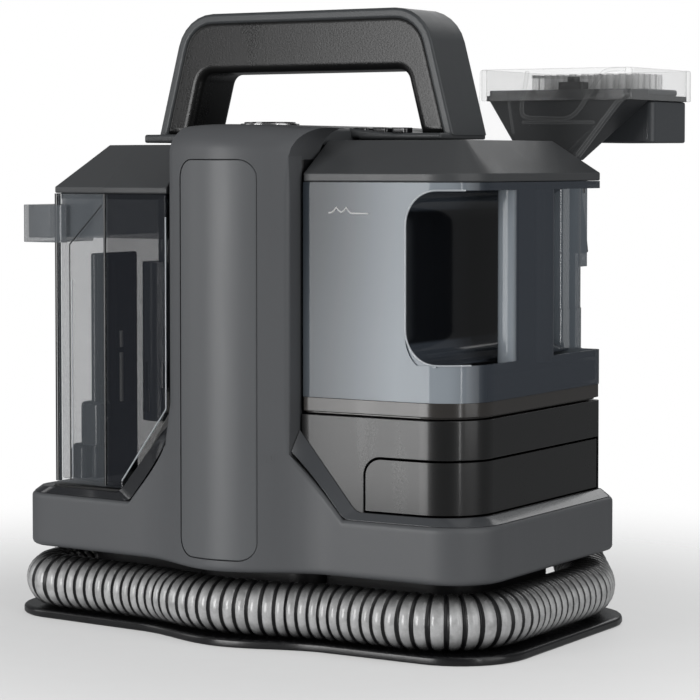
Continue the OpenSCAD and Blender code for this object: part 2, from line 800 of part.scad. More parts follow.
// Slotted cage that guides the float under the separator
module float_cage() {
  color([0.16, 0.16, 0.17]) difference() {
    rod([separator_at[0], separator_at[1], separator_z], cage_top - separator_z, separator_r);
    rod([separator_at[0], separator_at[1], separator_z + 2], cage_top - separator_z, separator_r - 2);
    for (a = [20:45:340]) translate([separator_at[0], separator_at[1], separator_z + 5])
      rotate(a) block([0, -2.5, 0], [30, 2.5, 28]);
  }
}

module float_puck() {
  color([0.85, 0.84, 0.80]) rod([separator_at[0], separator_at[1], separator_z + 2.4], 14, separator_r - 2.6);
}

collar_x = dirty_right + slide_gap;

// Rubber collar on the column's side that seals against the tank's inlet
module duct_collar() {
  color([0.05, 0.05, 0.05]) difference() {
    rod([collar_x, duct_y, duct_z], -spine_half - collar_x - fit, 18, [0, 90, 0]);
    rod([dirty_right - 1, duct_y, duct_z], 20, 13, [0, 90, 0]);
  }
}

module tank_baffle() {
  color([0.12, 0.12, 0.13]) {
    block([-98, -66, dirty_z + tank_wall], [-94, -26, 205]);
    block([-98, -72, dirty_z + tank_wall + 8], [-88, -60, 110]);
    block([-116, -66, dirty_z + tank_wall], [-98, -50, 92]);
  }
}

// ---- handle ----------------------------------------------------------------------------

handle_front = -16;
handle_rear = 23;
shell_t = 5.5;

// Arch of the handle's front view, pulled in by inset and with its own top and corner
function arch(inset, top, r) =
  let (nx = cos(handle_lean), nz = sin(handle_lean), z0 = wing_z,
       reach = nx * handle_half + nz * z0 - inset,
       cz = top - r, cx = (reach - r - nz * cz) / nx, foot = (reach - nz * z0) / nx)
  concat([[foot, z0]], arc([cx, cz], r, handle_lean, 90),
         [for (p = arc([cx, cz], r, 90, handle_lean)) [-p[0], p[1]]], [[-foot, z0]]);

module handle_shell() {
  color([0.28, 0.30, 0.31]) difference() {
    upright(handle_front, handle_rear) polygon(arch(0, handle_z, handle_corner));
    upright(handle_front - 1, handle_rear + 1)
      translate([0, -eps]) polygon(arch(shell_t, handle_z - shell_t, handle_corner - shell_t));
  }
}

module handle_grip() {
  color([0.06, 0.06, 0.06]) difference() {
    upright(handle_front + 1, handle_rear - 1)
      polygon(arch(shell_t + fit, handle_z - shell_t - fit, handle_corner - shell_t - fit));
    upright(handle_front - 1, handle_rear + 1) translate([0, -eps]) polygon(arch(20, grip_z, 7));
  }
}

// ---- inside the column -------------------------------------------------------------------

module suction_motor() {
  color([0.45, 0.46, 0.48]) difference() {
    union() {
      rod([0, fan_y, fan_z + 18], 46, motor_r);
      rod([0, fan_y, fan_z + 64], 12, 14);
    }
    rod([0, fan_y, fan_z + 17], 50, shaft_r + 0.05);
    for (a = [0:30:330]) translate([0, fan_y, fan_z + 24]) rotate(a)
      block([motor_r - 1.5, -3, 0], [motor_r + 1, 3, 30]);
  }
}

module motor_mount() {
  color([0.12, 0.12, 0.13]) slab(fan_z + 66, fan_z + 69) difference() {
    round_rect([-spine_half + spine_wall, fan_y - 34, spine_half - spine_wall, fan_y + 34], 2);
    translate([0, fan_y]) circle(14.2);
    for (x = [-24, 24], y = [fan_y - 26, fan_y + 26]) translate([x, y]) circle(3);
  }
}

module fan_housing() {
  color([0.14, 0.14, 0.15]) difference() {
    rod([0, fan_y, fan_z - 5], 22.5, fan_r + 4);
    rod([0, fan_y, fan_z - 3], 19, fan_r + 1.5);
    rod([0, fan_y, fan_z - 6], 4, 12);
    rod([0, fan_y, fan_z + 14], 5, 4.6);
    block([fan_r - 6, fan_y + 4, fan_z - 2], [fan_r + 6, fan_y + 24, fan_z + 14]);
  }
}

module impeller() {
  color([0.75, 0.75, 0.76]) {
    rod([0, fan_y, fan_z], 2, fan_r);
    rod([0, fan_y, fan_z], 11.6, 7);
    rod([0, fan_y, fan_z], 62, shaft_r);
    for (a = [0:40:320]) translate([0, fan_y, fan_z + 1]) rotate(a)
      translate([6, 0, 0]) rotate(20) translate([0, -0.8, 0]) cube([21, 1.6, 9]);
  }
}

module pump_body() {
  color([0.20, 0.21, 0.23]) {
    block([-17, -62, skirt_z + 6], [17, -22, skirt_z + 34]);
    rod([0, -42, skirt_z + 34], 22, 14);
    rod([17, -42, skirt_z + 20], 8.6, 4, [0, 90, 0]);
    for (x = [-19, 19]) rod([x, -30, skirt_z + 3.5], 5, 3);
    block([-22, -34, skirt_z + 6], [22, -26, skirt_z + 9]);
  }
}

// Rigid tube from the clean tank's socket down to the pump
module water_tube() {
  color([0.75, 0.78, 0.80]) difference() {
    union() {
      rod([27, spigot_y, spigot_z], 12, 7, [0, 90, 0]);
      swept_rod([[29, spigot_y, spigot_z - 8], [29, spigot_y - 4, 120], [29, 0, 105], [29, -24, 90],
                 [29, -40, 78], [29, -42, 68], [29, -42, 56]], 3.2, 10, [1, 0, 0]);
      block([25.5, spigot_y - 3.5, spigot_z - 10], [30.5, spigot_y + 3.5, spigot_z + 4]);
    }
    rod([28.5, spigot_y, spigot_z], 12, 5.2, [0, 90, 0]);
  }
}

module circuit_board() {
  color([0.10, 0.30, 0.16]) {
    block([-28, -70, 165], [28, -68.4, 245]);
    block([-20, -68.4, 175], [-4, -58, 195]);
    rod([12, -68.4, 215], 14, 7, [-90, 0, 0]);
    block([4, -68.4, 178], [20, -63, 190]);
    for (x = [-24, 24], z = [170, 240]) rod([x, -74.5, z], 4.5, 2.5, [-90, 0, 0]);
  }
}

// ---- hose and hand tool ------------------------------------------------------------------

module hose_port() {
  color([0.10, 0.10, 0.10]) {
    rod([-18, 75, hose_lie], 24, hose_r + 0.2, [0, 90, 0]);
    block([-6, core_box[3] + fit, base_t + fit], [14, 82, skirt_z - 4]);
  }
}

module hose() {
  color([0.70, 0.71, 0.72]) swept_rod(hose_route, hose_r, 12);
}

holder_z = 116;

module tool_holder() {
  color([0.10, 0.10, 0.10]) difference() {
    union() {
      rod([wand_x, wand_y, holder_z], 16, 20);
      block([wand_x - 18, tray_rear + 0.1, holder_z - 14], [wand_x + 18, tray_rear + 2, holder_z + 8]);
    }
    rod([wand_x, wand_y, holder_z - 20], 60, 16.6);
    block([wand_x - 30, 40, holder_z - 20], [wand_x + 30, tray_rear + 0.1, holder_z + 30]);
    // way in for the wand, at the back
    block([wand_x - 11, wand_y + 5, holder_z - 1], [wand_x + 11, wand_y + 30, holder_z + 20]);
  }
}

module hose_cuff() {
  color([0.08, 0.08, 0.08]) difference() {
    union() {
      rod([wand_x, wand_y, cuff_z], 38, 16);
      for (z = [cuff_z + 24:4:cuff_z + 34]) rod([wand_x, wand_y, z], 2, 16.6);
    }
    rod([wand_x, wand_y, cuff_z - 1], 60, 13);
  }
}

wand_seam_z = 173;
wand_top_z = 257;
trigger_axis = [wand_x, wand_y + 20, 240];
pin_r = 1.95;

module wand_lower() {
  color([0.20, 0.21, 0.22]) difference() {
    rod([wand_x, wand_y, cuff_z + 38], wand_seam_z - cuff_z - 38, wand_r + 0.4);
    rod([wand_x, wand_y, cuff_z + 30], 60, 12);
  }
}

module wand_upper() {
  color([0.22, 0.23, 0.25]) difference() {
    union() {
      rod([wand_x, wand_y, wand_seam_z], wand_top_z - wand_seam_z, wand_r);
      // pod that holds the trigger, behind the wand
      block([wand_x - 9, wand_y + 8, 196], [wand_x + 9, wand_y + 24, 250]);
    }
    rod([wand_x, wand_y, wand_seam_z - 1], 100, 12);
    block([wand_x - 6, wand_y + 15.5, 190], [wand_x + 6, wand_y + 30, 246]);
    rod([wand_x - 12, trigger_axis[1], trigger_axis[2]], 24, pin_r + 0.05, [0, 90, 0]);
  }
}

module trigger() {
  color([0.04, 0.04, 0.04]) difference() {
    union() {
      rod([wand_x - 5.5, trigger_axis[1], trigger_axis[2]], 11, 4, [0, 90, 0]);
      sideways(wand_x - 5.5, wand_x + 5.5) polygon([
        [trigger_axis[1] - 1, trigger_axis[2]], [trigger_axis[1] + 4, trigger_axis[2]],
        [trigger_axis[1] + 9, trigger_axis[2] - 18], [trigger_axis[1] + 13, trigger_axis[2] - 36],
        [trigger_axis[1] + 10, trigger_axis[2] - 37], [trigger_axis[1] + 5, trigger_axis[2] - 20]]);
    }
    rod([wand_x - 12, trigger_axis[1], trigger_axis[2]], 24, pin_r + 0.06, [0, 90, 0]);
  }
}

module trigger_pin() {
  color("silver") rod([wand_x - 8.5, trigger_axis[1], trigger_axis[2]], 17, pin_r, [0, 90, 0]);
}

head_x = [56, 152];
head_y = [88, 176];
head_floor_z = 291;

module head_body() {
  color([0.20, 0.20, 0.21]) difference() {
    union() {
      hull() {
        slab(wand_top_z, wand_top_z + 1) corner_rect([87, 79, 117, 108], [6, 6, 12, 12]);
        slab(head_floor_z, head_floor_z + eps) round_rect([60, 91, 148, 122], 3);
      }
      slab(head_floor_z, head_floor_z + 6) round_rect([60, 91, 148, 122], 3);
      slab(head_floor_z, head_floor_z + 3)
        corner_rect([head_x[0] + 2.4, head_y[0] + 2.4, head_x[1] - 2.4, head_y[1] - 2.4], [3, 3, 6, 6]);
    }
    // suction way from the mouth down into the wand
    hull() {
      slab(wand_top_z - 1, wand_top_z) translate([wand_x, wand_y]) circle(11, $fn = 32);
      slab(head_floor_z + 7, head_floor_z + 8) round_rect([66, 95, 142, 110], 3);
    }
  }
}

module head_cover() {
  color([0.85, 0.87, 0.88, 0.4]) {
    // leaning clear front
    hull() {
      block([head_x[0] + 1, head_y[0], head_floor_z + 4], [head_x[1], head_y[0] + 2, head_floor_z + 6]);
      block([86, 75.6, wand_top_z + 1], [120, 77.6, wand_top_z + 3]);
    }
    // clear rim round the mouth
    slab(head_floor_z, mouth_z) difference() {
      corner_rect([head_x[0], head_y[0], head_x[1], head_y[1]], [4, 4, 8, 8]);
      corner_rect([head_x[0] + 2.2, head_y[0] + 2.2, head_x[1] - 2.2, head_y[1] - 2.2], [3, 3, 6, 6]);
    }
  }
}

module brush_block() {
  color([0.36, 0.37, 0.38]) slab(267, head_floor_z - fit) difference() {
    corner_rect([110, 124, 149, 173], [4, 4, 6, 6]);
    corner_rect([112.5, 126.5, 146.5, 170.5], [2, 2, 4, 4]);
  }
  color([0.36, 0.37, 0.38]) slab(head_floor_z + 3 + fit, head_floor_z + 7)
    round_rect([64, 126, 144, 170], 3);
}

module brush_bristles() {
  color([0.12, 0.12, 0.12]) for (x = [70:8:138], y = [132:8:164])
    rod([x, y, head_floor_z + 7], mouth_z - head_floor_z - 9, 2.2);
}

module spray_nozzle() {
  color([0.08, 0.08, 0.08]) difference() {
    union() {
      slab(head_floor_z + 6, head_floor_z + 11) round_rect([94, 112, 110, 121.5], 2);
      rod([wand_x, 117, head_floor_z + 10], 4, 3.6);
    }
    rod([wand_x, 117, head_floor_z + 2], 20, 0.9);
  }
}

// ---- what is drawn -------------------------------------------------------------------------

base_plate();
base_pads();
base_screws();
hose_core();
deck_plate();
front_shell();
column_panel();
spine_frame();
rear_cover();
top_hood();
left_trim();
right_trim();
tank_tray();
accessory_drawer();
dirty_cradle();
handle_shell();
handle_grip();
power_ring();
power_button();
mode_key_1();
mode_key_2();
mode_key_3();
suction_motor();
motor_mount();
impeller();
fan_housing();
pump_body();
water_tube();
circuit_board();
exhaust_grille();
power_gland();
hose_port();
hose();
tool_holder();
clean_tank_foot();
clean_tank();
clean_tank_lid();
clean_tank_seal();
outlet_spigot();
valve_plunger();
valve_spring();
dirty_tank();
dirty_tank_lid();
dirty_tank_grip();
dirty_tank_seal();
separator_tube();
float_cage();
float_puck();
tank_baffle();
duct_collar();
hose_cuff();
wand_lower();
wand_upper();
trigger();
trigger_pin();
spray_nozzle();
head_body();
head_cover();
brush_block();
brush_bristles();
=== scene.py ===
"""Spot carpet cleaner with two tanks, a carrying handle and a hand tool on a wound hose.

The moulded shapes, finishes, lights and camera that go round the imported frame. Lengths in this
file are millimetres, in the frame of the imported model, and become metres where meshes are made.
"""
import json
import math

import bmesh
import bpy
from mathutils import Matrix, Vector
from mathutils.geometry import tessellate_polygon


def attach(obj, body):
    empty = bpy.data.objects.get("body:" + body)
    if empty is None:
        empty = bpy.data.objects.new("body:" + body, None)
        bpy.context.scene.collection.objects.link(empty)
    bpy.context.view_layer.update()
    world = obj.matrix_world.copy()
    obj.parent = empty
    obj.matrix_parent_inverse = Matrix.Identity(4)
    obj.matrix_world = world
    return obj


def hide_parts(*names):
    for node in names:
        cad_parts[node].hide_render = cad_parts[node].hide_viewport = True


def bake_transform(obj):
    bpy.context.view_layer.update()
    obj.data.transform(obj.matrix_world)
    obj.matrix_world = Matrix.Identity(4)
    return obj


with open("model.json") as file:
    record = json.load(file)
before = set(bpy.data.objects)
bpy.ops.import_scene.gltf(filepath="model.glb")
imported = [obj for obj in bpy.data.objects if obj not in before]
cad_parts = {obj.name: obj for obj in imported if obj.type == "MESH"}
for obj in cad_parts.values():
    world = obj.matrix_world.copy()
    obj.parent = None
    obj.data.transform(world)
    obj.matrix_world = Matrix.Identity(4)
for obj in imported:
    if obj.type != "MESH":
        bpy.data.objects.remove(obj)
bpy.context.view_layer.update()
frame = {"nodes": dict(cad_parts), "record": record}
MM = 0.001
scene = bpy.context.scene


# ---- camera and light ---------------------------------------------------------------------

LENS, SENSOR, SHIFT_UP = 131.9, 36, -0.10
CAMERA_AT = (0.76177, -1.2163, 0.256)
CAMERA_DOWN, CAMERA_TURN = 2.635, 31.3


def aim(thing, at):
    """Turns a light or the camera to look at a point, in metres."""
    thing.rotation_euler = (Vector(at) - thing.location).to_track_quat("-Z", "Y").to_euler()


camera = bpy.data.objects.new("camera", bpy.data.cameras.new("camera"))
scene.collection.objects.link(camera)
scene.camera = camera
camera.data.lens, camera.data.sensor_width, camera.data.shift_y = LENS, SENSOR, SHIFT_UP
camera.location = CAMERA_AT
camera.rotation_euler = (math.radians(90 - CAMERA_DOWN), 0, math.radians(CAMERA_TURN))
scene.view_settings.view_transform = "Standard"

world = bpy.data.worlds.new("studio")
scene.world = world
world.use_nodes = True
studio = world.node_tree
dim = studio.nodes["Background"]
dim.inputs["Color"].default_value = (0.96, 0.98, 1, 1)
dim.inputs["Strength"].default_value = 0.15
pale = studio.nodes.new("ShaderNodeBackground")
pale.inputs["Color"].default_value = (1, 1, 1, 1)
seen = studio.nodes.new("ShaderNodeLightPath")
choose = studio.nodes.new("ShaderNodeMixShader")
studio.links.new(seen.outputs["Is Camera Ray"], choose.inputs[0])
studio.links.new(dim.outputs[0], choose.inputs[1])
studio.links.new(pale.outputs[0], choose.inputs[2])
studio.links.new(choose.outputs[0], studio.nodes["World Output"].inputs["Surface"])


def softbox(name, azimuth, height, distance, size, power):
    """Rectangular light, placed by its direction from the object: azimuth 0 is the front."""
    lamp = bpy.data.lights.new(name, "AREA")
    lamp.shape = "RECTANGLE"
    lamp.size, lamp.size_y = size
    lamp.energy = power
    thing = bpy.data.objects.new(name, lamp)
    scene.collection.objects.link(thing)
    turn = math.radians(azimuth)
    thing.location = (distance * math.sin(turn), -distance * math.cos(turn), height)
    aim(thing, (0, 0, 0.15))


softbox("key_light", -16.5, 0.27, 1.34, (0.62, 0.76), 8.6)
softbox("top_light", 85, 1.5, 0.9, (1.2, 1.2), 4)
softbox("side_card", 84, 0.45, 1.4, (0.75, 1.0), 3.4)
softbox("strip_light", 60, 0.45, 1.5, (0.06, 1.1), 2)
softbox("left_fill", -62, 0.45, 1.5, (0.5, 0.9), 2.0)
softbox("rear_light", 190, 1.0, 1.5, (1.2, 0.8), 3)


# ---- finishes ------------------------------------------------------------------------------

class Value:
    """One socket's value in a finish, which can be used in sums."""

    def __init__(self, finish, socket):
        self.finish, self.socket = finish, socket

    def sum(self, operation, a, b):
        """Result of one sum on two values."""
        return self.finish.node("ShaderNodeMath", {"operation": operation}, {0: a, 1: b})

    def __add__(self, other):
        return self.sum("ADD", self, other)

    __radd__ = __add__

    def __sub__(self, other):
        return self.sum("SUBTRACT", self, other)

    def __rsub__(self, other):
        return self.sum("SUBTRACT", other, self)

    def __mul__(self, other):
        return self.sum("MULTIPLY", self, other)

    __rmul__ = __mul__

    def __pow__(self, other):
        return self.sum("POWER", self, other)

    def over(self, low, high):
        """0 below low, 1 above high, smooth between."""
        return self.finish.node("ShaderNodeMapRange", {"interpolation_type": "SMOOTHSTEP"},
                                {"Value": self, "From Min": low, "From Max": high})


class Finish:
    """A material, with the record's slot that it stands for."""

    def __init__(self, name, slot, **constants):
        self.material = bpy.data.materials.new(name)
        self.material.use_nodes = True
        self.name, self.slot = name, slot
        self.tree = self.material.node_tree
        self.shader = self.tree.nodes["Principled BSDF"]
        for socket, value in constants.items():
            self.shader.inputs[socket.replace("_", " ")].default_value = value
        self.place = self.node("ShaderNodeTexCoord", {}, {}, "Object")

    def node(self, kind, settings, inputs, output=None):
        """Any node: its settings first, then the values or links of its sockets."""
        made = self.tree.nodes.new(kind)
        for key, value in settings.items():
            if key == "stops":
                ramp = made.color_ramp
                while len(ramp.elements) < len(value):
                    ramp.elements.new(1)
                for element, (at, colour) in zip(ramp.elements, value):
                    element.position, element.color = at, (*colour, 1)
            else:
                setattr(made, key, value)
        for key, value in inputs.items():
            if isinstance(value, Value):
                self.tree.links.new(value.socket, made.inputs[key])
            else:
                made.inputs[key].default_value = value
        outputs = [s for s in made.outputs if s.enabled]
        return Value(self, made.outputs[output] if output else outputs[0])

    def noise(self, scale, detail=2.0, stretch=(1, 1, 1)):
        """Soft random value from 0 to 1, with scale in cycles per metre."""
        where = self.node("ShaderNodeMapping", {}, {"Vector": self.place, "Scale": stretch})
        return self.node("ShaderNodeTexNoise", {}, {"Vector": where, "Scale": scale, "Detail": detail})

    def along(self, axis):
        """The place along X, Y or Z, in metres."""
        return self.node("ShaderNodeSeparateXYZ", {}, {"Vector": self.place}, axis)

    def mix(self, amount, a, b):
        """Colour between a and b."""
        colours = {6: a if isinstance(a, Value) else (*a, 1), 7: b if isinstance(b, Value) else (*b, 1)}
        return Value(self, self.node("ShaderNodeMix", {"data_type": "RGBA"},
                                     {0: amount, **colours}).socket.node.outputs[2])

    def feed(self, **values):
        """Links varying values to the shader's sockets."""
        for socket, value in values.items():
            self.tree.links.new(value.socket, self.shader.inputs[socket.replace("_", " ")])

    def bump(self, height, strength, distance):
        """Relief from a height value."""
        self.feed(Normal=self.node("ShaderNodeBump", {}, {"Height": height, "Strength": strength,
                                                          "Distance": distance}))


def shade(colour, factor):
    """Colour made lighter or darker by a factor."""
    return tuple(min(1.0, c * factor) for c in colour)


def moulded(name, colour, roughness, grain=0.16, size=1500, coat=0.0, mottle=0.05, slot=None):
    """Opaque moulded plastic or rubber: spark-eroded grain, faint flow marks and handling marks."""
    finish = Finish(name, slot or name, Coat_Weight=coat, Coat_Roughness=0.12)
    fine = finish.noise(size, 1.0)
    broad = finish.noise(14, 3.0, (1, 1, 0.5))
    wipe = finish.noise(55, 4.0, (1, 1, 0.14)).over(0.52, 0.72)
    finish.feed(
        Base_Color=finish.mix(broad * 0.75 + fine * 0.25, shade(colour, 1 - mottle),
                              shade(colour, 1 + mottle)),
        Roughness=roughness + (fine - 0.5) * 0.10 + (broad - 0.5) * 0.06 - wipe * 0.05)
    finish.bump(fine, grain, 0.00025)
    return finish


def metal(name, colour, roughness, stretch):
    """Bare or plated metal with fine marks along one direction."""
    finish = Finish(name, name, Metallic=1.0)
    marks = finish.noise(900, 2.0, stretch)
    finish.feed(Base_Color=finish.mix(marks, shade(colour, 0.85), colour), Roughness=roughness + marks * 0.12)
    finish.bump(marks, 0.06, 0.0001)
    return finish


def smoked(name, low, high, axis, span, clear, roughness=0.06, edge=0.75, slot=None):
    """Tinted see-through plastic: colour runs from low to high along an axis, edges look denser."""
    finish = Finish(name, slot or name, Coat_Weight=0.6, Coat_Roughness=0.03, IOR=1.5)
    haze = finish.noise(9, 2.0, (1, 1, 0.4))
    fine = finish.noise(420, 2.0)
    run = finish.along(axis).over(span[0] * MM, span[1] * MM) + (haze - 0.5) * 0.25
    facing = finish.node("ShaderNodeLayerWeight", {}, {"Blend": 0.35}, "Facing")
    finish.feed(Base_Color=finish.mix(run, low, high), Roughness=roughness + fine * 0.05,
                Alpha=(1 - clear) + facing * facing * edge * clear)
    finish.bump(haze, 0.12, 0.002)
    return finish


def tank_plastic():
    """Blue-grey tinted tank, glossy in front: painted reflection makes the front pale, paler to the right and
    the bottom; painted shade makes the sides slate and the end wall in the gap black.
    """
    finish = Finish("smoke_blue", "smoke_blue", Coat_Weight=0.25, Coat_Roughness=0.05, IOR=1.45,
                    Specular_IOR_Level=0.22)
    haze = finish.noise(7, 2.0, (1, 1, 0.3))
    fine = finish.noise(380, 2.0)
    x, z = finish.along("X"), finish.along("Z")
    facing = Value(finish, finish.place.socket.node.outputs["Normal"])
    forward = 0 - finish.node("ShaderNodeSeparateXYZ", {}, {"Vector": facing}, "Y")
    front = forward.over(0.25, 0.9)
    # Painted reflection: the front's colour grows paler to the right and towards the bottom, standing in for
    # a softbox's reflection
    across = x.over(0.046, 0.112) * 0.85 + (haze - 0.5) * 0.3 + (1 - z.over(0.14, 0.24)) * 0.2
    pale = finish.mix(across, (0.030, 0.038, 0.048), (0.36, 0.40, 0.44))
    # Painted shade: faces turned away from the front take the dark slate colour instead of the front's
    body = finish.mix(front, (0.058, 0.068, 0.084), pale)
    # Painted shade: the end wall inside the hand gap is made nearly black, standing in for the shade in the
    # recess
    end_wall_painted_shade = x.over(0.1015, 0.1022) * (1 - x.over(0.1052, 0.1062)) * z.over(0.150, 0.153) \
        * (1 - z.over(0.238, 0.241)) * (1 - front)
    finish.feed(Base_Color=finish.mix(end_wall_painted_shade, body, (0.008, 0.009, 0.011)), Roughness=0.07 + fine * 0.05,
                Alpha=0.86 + front * 0.08 + end_wall_painted_shade * 0.1)
    finish.bump(haze, 0.10, 0.002)
    return finish


def dirty_plastic():
    """Smoke-grey tank: dark over the front facet, clearer round the outer end."""
    finish = Finish("smoke_grey", "smoke_grey", Coat_Weight=0.6, Coat_Roughness=0.02, IOR=1.45)
    haze = finish.noise(8, 2.0, (1, 1, 0.3))
    fine = finish.noise(380, 2.0)
    inner = finish.along("X").over(-0.0895, -0.0880)
    facing = finish.node("ShaderNodeLayerWeight", {}, {"Blend": 0.30}, "Facing")
    finish.feed(Base_Color=finish.mix(inner, (0.17, 0.19, 0.21), (0.020, 0.023, 0.030)),
                Roughness=0.07 + fine * 0.05,
                Alpha=0.22 + inner * 0.26 + (haze - 0.5) * 0.1 + facing * facing * 0.4)
    finish.bump(haze, 0.10, 0.002)
    return finish


def hose_plastic():
    """Clear corrugated hose: a painted highlight makes the bands pale at mid height and leaves them darker
    over and under, with grime inside.
    """
    finish = Finish("hose_clear", "hose_clear", Coat_Weight=0.9, Coat_Roughness=0.10, IOR=1.5)
    grime = finish.noise(170, 3.0)
    fine = finish.noise(900, 1.0)
    z = finish.along("Z")
    # Painted highlight: a pale band at mid height on the lying stretch, and a paler upright stretch, stand in
    # for the lamps' light on the bands
    lit = z.over(0.006, 0.017) * (1 - z.over(0.024, 0.035)) + z.over(0.034, 0.060) * 0.4
    finish.feed(Base_Color=finish.mix(lit * (0.40 + grime * 1.1), (0.022, 0.022, 0.022), (0.70, 0.70, 0.70)),
                Roughness=0.16 + grime * 0.10, Alpha=0.78 + fine * 0.14)
    finish.bump(grime, 0.25, 0.0006)
    return finish


finishes = [
    moulded("housing_grey", (0.112, 0.116, 0.122), 0.46, 0.14),
    moulded("panel_grey", (0.126, 0.131, 0.137), 0.42, 0.10),
    moulded("hood_grey", (0.076, 0.080, 0.084), 0.42),
    moulded("base_black", (0.008, 0.008, 0.009), 0.24, 0.2, 1100, coat=0.2),
    moulded("inner_black", (0.010, 0.010, 0.011), 0.42, 0.2),
    moulded("trim_gloss", (0.070, 0.074, 0.080), 0.20, 0.05, coat=0.6),
    moulded("trim_dark", (0.018, 0.019, 0.022), 0.16, 0.05, coat=0.6),
    moulded("tray_black", (0.008, 0.008, 0.008), 0.30, 0.08, 1200, coat=0.4),
    moulded("lid_grey", (0.074, 0.077, 0.080), 0.38, 0.12),
    moulded("foot_brown", (0.040, 0.036, 0.033), 0.22, 0.08, coat=0.4),
    moulded("handle_grey", (0.070, 0.075, 0.079), 0.38),
    moulded("grip_black", (0.007, 0.007, 0.007), 0.30, 0.22, 900),
    moulded("rubber_black", (0.010, 0.010, 0.010), 0.6, 0.35, 800),
    moulded("key_black", (0.010, 0.010, 0.012), 0.12, 0.02, coat=0.8),
    moulded("fan_white", (0.58, 0.58, 0.55), 0.4),
    moulded("board_green", (0.020, 0.110, 0.045), 0.3, 0.3, 500, coat=0.3),
    moulded("tube_clear", (0.60, 0.62, 0.62), 0.2, 0.1),
    moulded("tool_grey", (0.032, 0.034, 0.037), 0.34),
    moulded("brush_grey", (0.080, 0.086, 0.093), 0.36),
    smoked("bristle_pale", (0.85, 0.85, 0.84), (0.92, 0.92, 0.92), "Z", (296, 308), 0.6, 0.3, 0.3),
    moulded("float_white", (0.72, 0.71, 0.67), 0.55, 0.5, 700),
    metal("bright_metal", (0.62, 0.62, 0.62), 0.16, (1, 1, 6)),
    metal("zinc_steel", (0.55, 0.55, 0.56), 0.30, (1, 1, 1)),
    metal("motor_steel", (0.45, 0.46, 0.48), 0.32, (1, 1, 12)),
    tank_plastic(),
    dirty_plastic(),
    smoked("wand_smoke", (0.13, 0.155, 0.18), (0.18, 0.21, 0.24), "Z", (120, 250), 0.22),
    smoked("tool_clear", (0.78, 0.79, 0.79), (0.72, 0.73, 0.73), "Z", (255, 309), 0.97, 0.05, 0.6),
    smoked("grip_smoke", (0.14, 0.155, 0.17), (0.20, 0.22, 0.24), "X", (-148, -122), 0.50, 0.06, 0.9,
           slot="smoke_grey"),
    moulded("duct_smoke", (0.12, 0.135, 0.155), 0.16, 0.05, coat=0.6, slot="inner_black"),
    moulded("baffle_smoke", (0.022, 0.025, 0.029), 0.20, 0.05, coat=0.6, slot="inner_black"),
    # Painted shade: dark finish of the bars along the clear tank's edges
    moulded("edge_dark", (0.006, 0.007, 0.008), 0.12, 0.03, coat=0.8, slot="smoke_grey"),
    # Painted highlight: pale finish of the bars along the clear tank's edges
    moulded("edge_pale", (0.55, 0.58, 0.61), 0.10, 0.03, coat=0.8, slot="smoke_grey"),
    # Painted highlight: pale finish of the bar round the hand gap
    moulded("rim_pale", (0.55, 0.58, 0.61), 0.10, 0.03, coat=0.8, slot="smoke_blue"),
    moulded("mark_white", (0.80, 0.80, 0.80), 0.4, 0.05, slot="smoke_blue"),
    hose_plastic(),
]
finish_of = {f.name: f for f in finishes}


# ---- making meshes ---------------------------------------------------------------------------

def finish_mesh(thing, angle=32):
    """Smooth faces with crisp edges above an angle."""
    mesh = thing.data
    mesh.polygons.foreach_set("use_smooth", [True] * len(mesh.polygons))
    mesh.set_sharp_from_angle(angle=math.radians(angle))


def piece(name, points, faces, slot, body, node=None, soft=0, angle=32, extra=None):
    """Closed piece from points in millimetres; soft is the radius of its edges."""
    mesh = bpy.data.meshes.new(name)
    mesh.from_pydata([Vector(p) * MM for p in points], [], faces)
    form = bmesh.new()
    form.from_mesh(mesh)
    bmesh.ops.remove_doubles(form, verts=form.verts, dist=1e-6)
    bmesh.ops.recalc_face_normals(form, faces=form.faces)
    form.to_mesh(mesh)
    form.free()
    thing = bpy.data.objects.new(name, mesh)
    scene.collection.objects.link(thing)
    for part in [slot] + (extra or []):
        mesh.materials.append(finish_of[part].material)
    finish_mesh(thing, angle)
    if soft:
        bevel = thing.modifiers.new("edges", "BEVEL")
        bevel.width, bevel.segments, bevel.limit_method = soft * MM, 3, "ANGLE"
        bevel.angle_limit = math.radians(angle)
    weigh = thing.modifiers.new("shading", "WEIGHTED_NORMAL")
    weigh.keep_sharp = True
    if body:
        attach(thing, body)
    if node:
        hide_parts(*([node] if isinstance(node, str) else node))
    return thing


def turned(a, b):
    """Unit direction from a to b."""
    return (Vector(b[:2]) - Vector(a[:2])).normalized()


def rounded(corners, inset=0.0, steps=6):
    """Outline through corners (x, y, radius), anticlockwise, pulled in by inset."""
    out = []
    for i, (x, y, r) in enumerate(corners):
        u = turned(corners[i - 1], corners[i])
        v = turned(corners[i], corners[(i + 1) % len(corners)])
        bend = u.x * v.y - u.y * v.x
        inward = Vector((-u.y - v.y, u.x + v.x)) / (1 + u.dot(v))
        tip = Vector((x, y)) + inward * inset
        if not r:
            out.append(tuple(tip))
            continue
        way = 1 if bend > 0 else -1
        left = max(r - way * inset, 0.02)
        middle = tip + inward * left * way
        a0 = math.atan2(-u.x, u.y) if way > 0 else math.atan2(u.x, -u.y)
        sweep = math.atan2(bend, u.dot(v))
        for k in range(steps + 1):
            a = a0 + sweep * k / steps
            out.append((middle.x + left * math.cos(a), middle.y + left * math.sin(a)))
    return out


def ring_of(loop, inset):
    """Points of an outline, which is a function, a list of corners with radii, or plain points."""
    if callable(loop):
        return loop(inset)
    return loop if len(loop[0]) == 2 else rounded(loop, inset)


def put(axis, u, v, w):
    """Point from outline place (u, v) and depth w; the axis is the direction of depth."""
    return {"Z": (u, v, w), "Y": (u, w, v), "X": (w, u, v)}[axis]


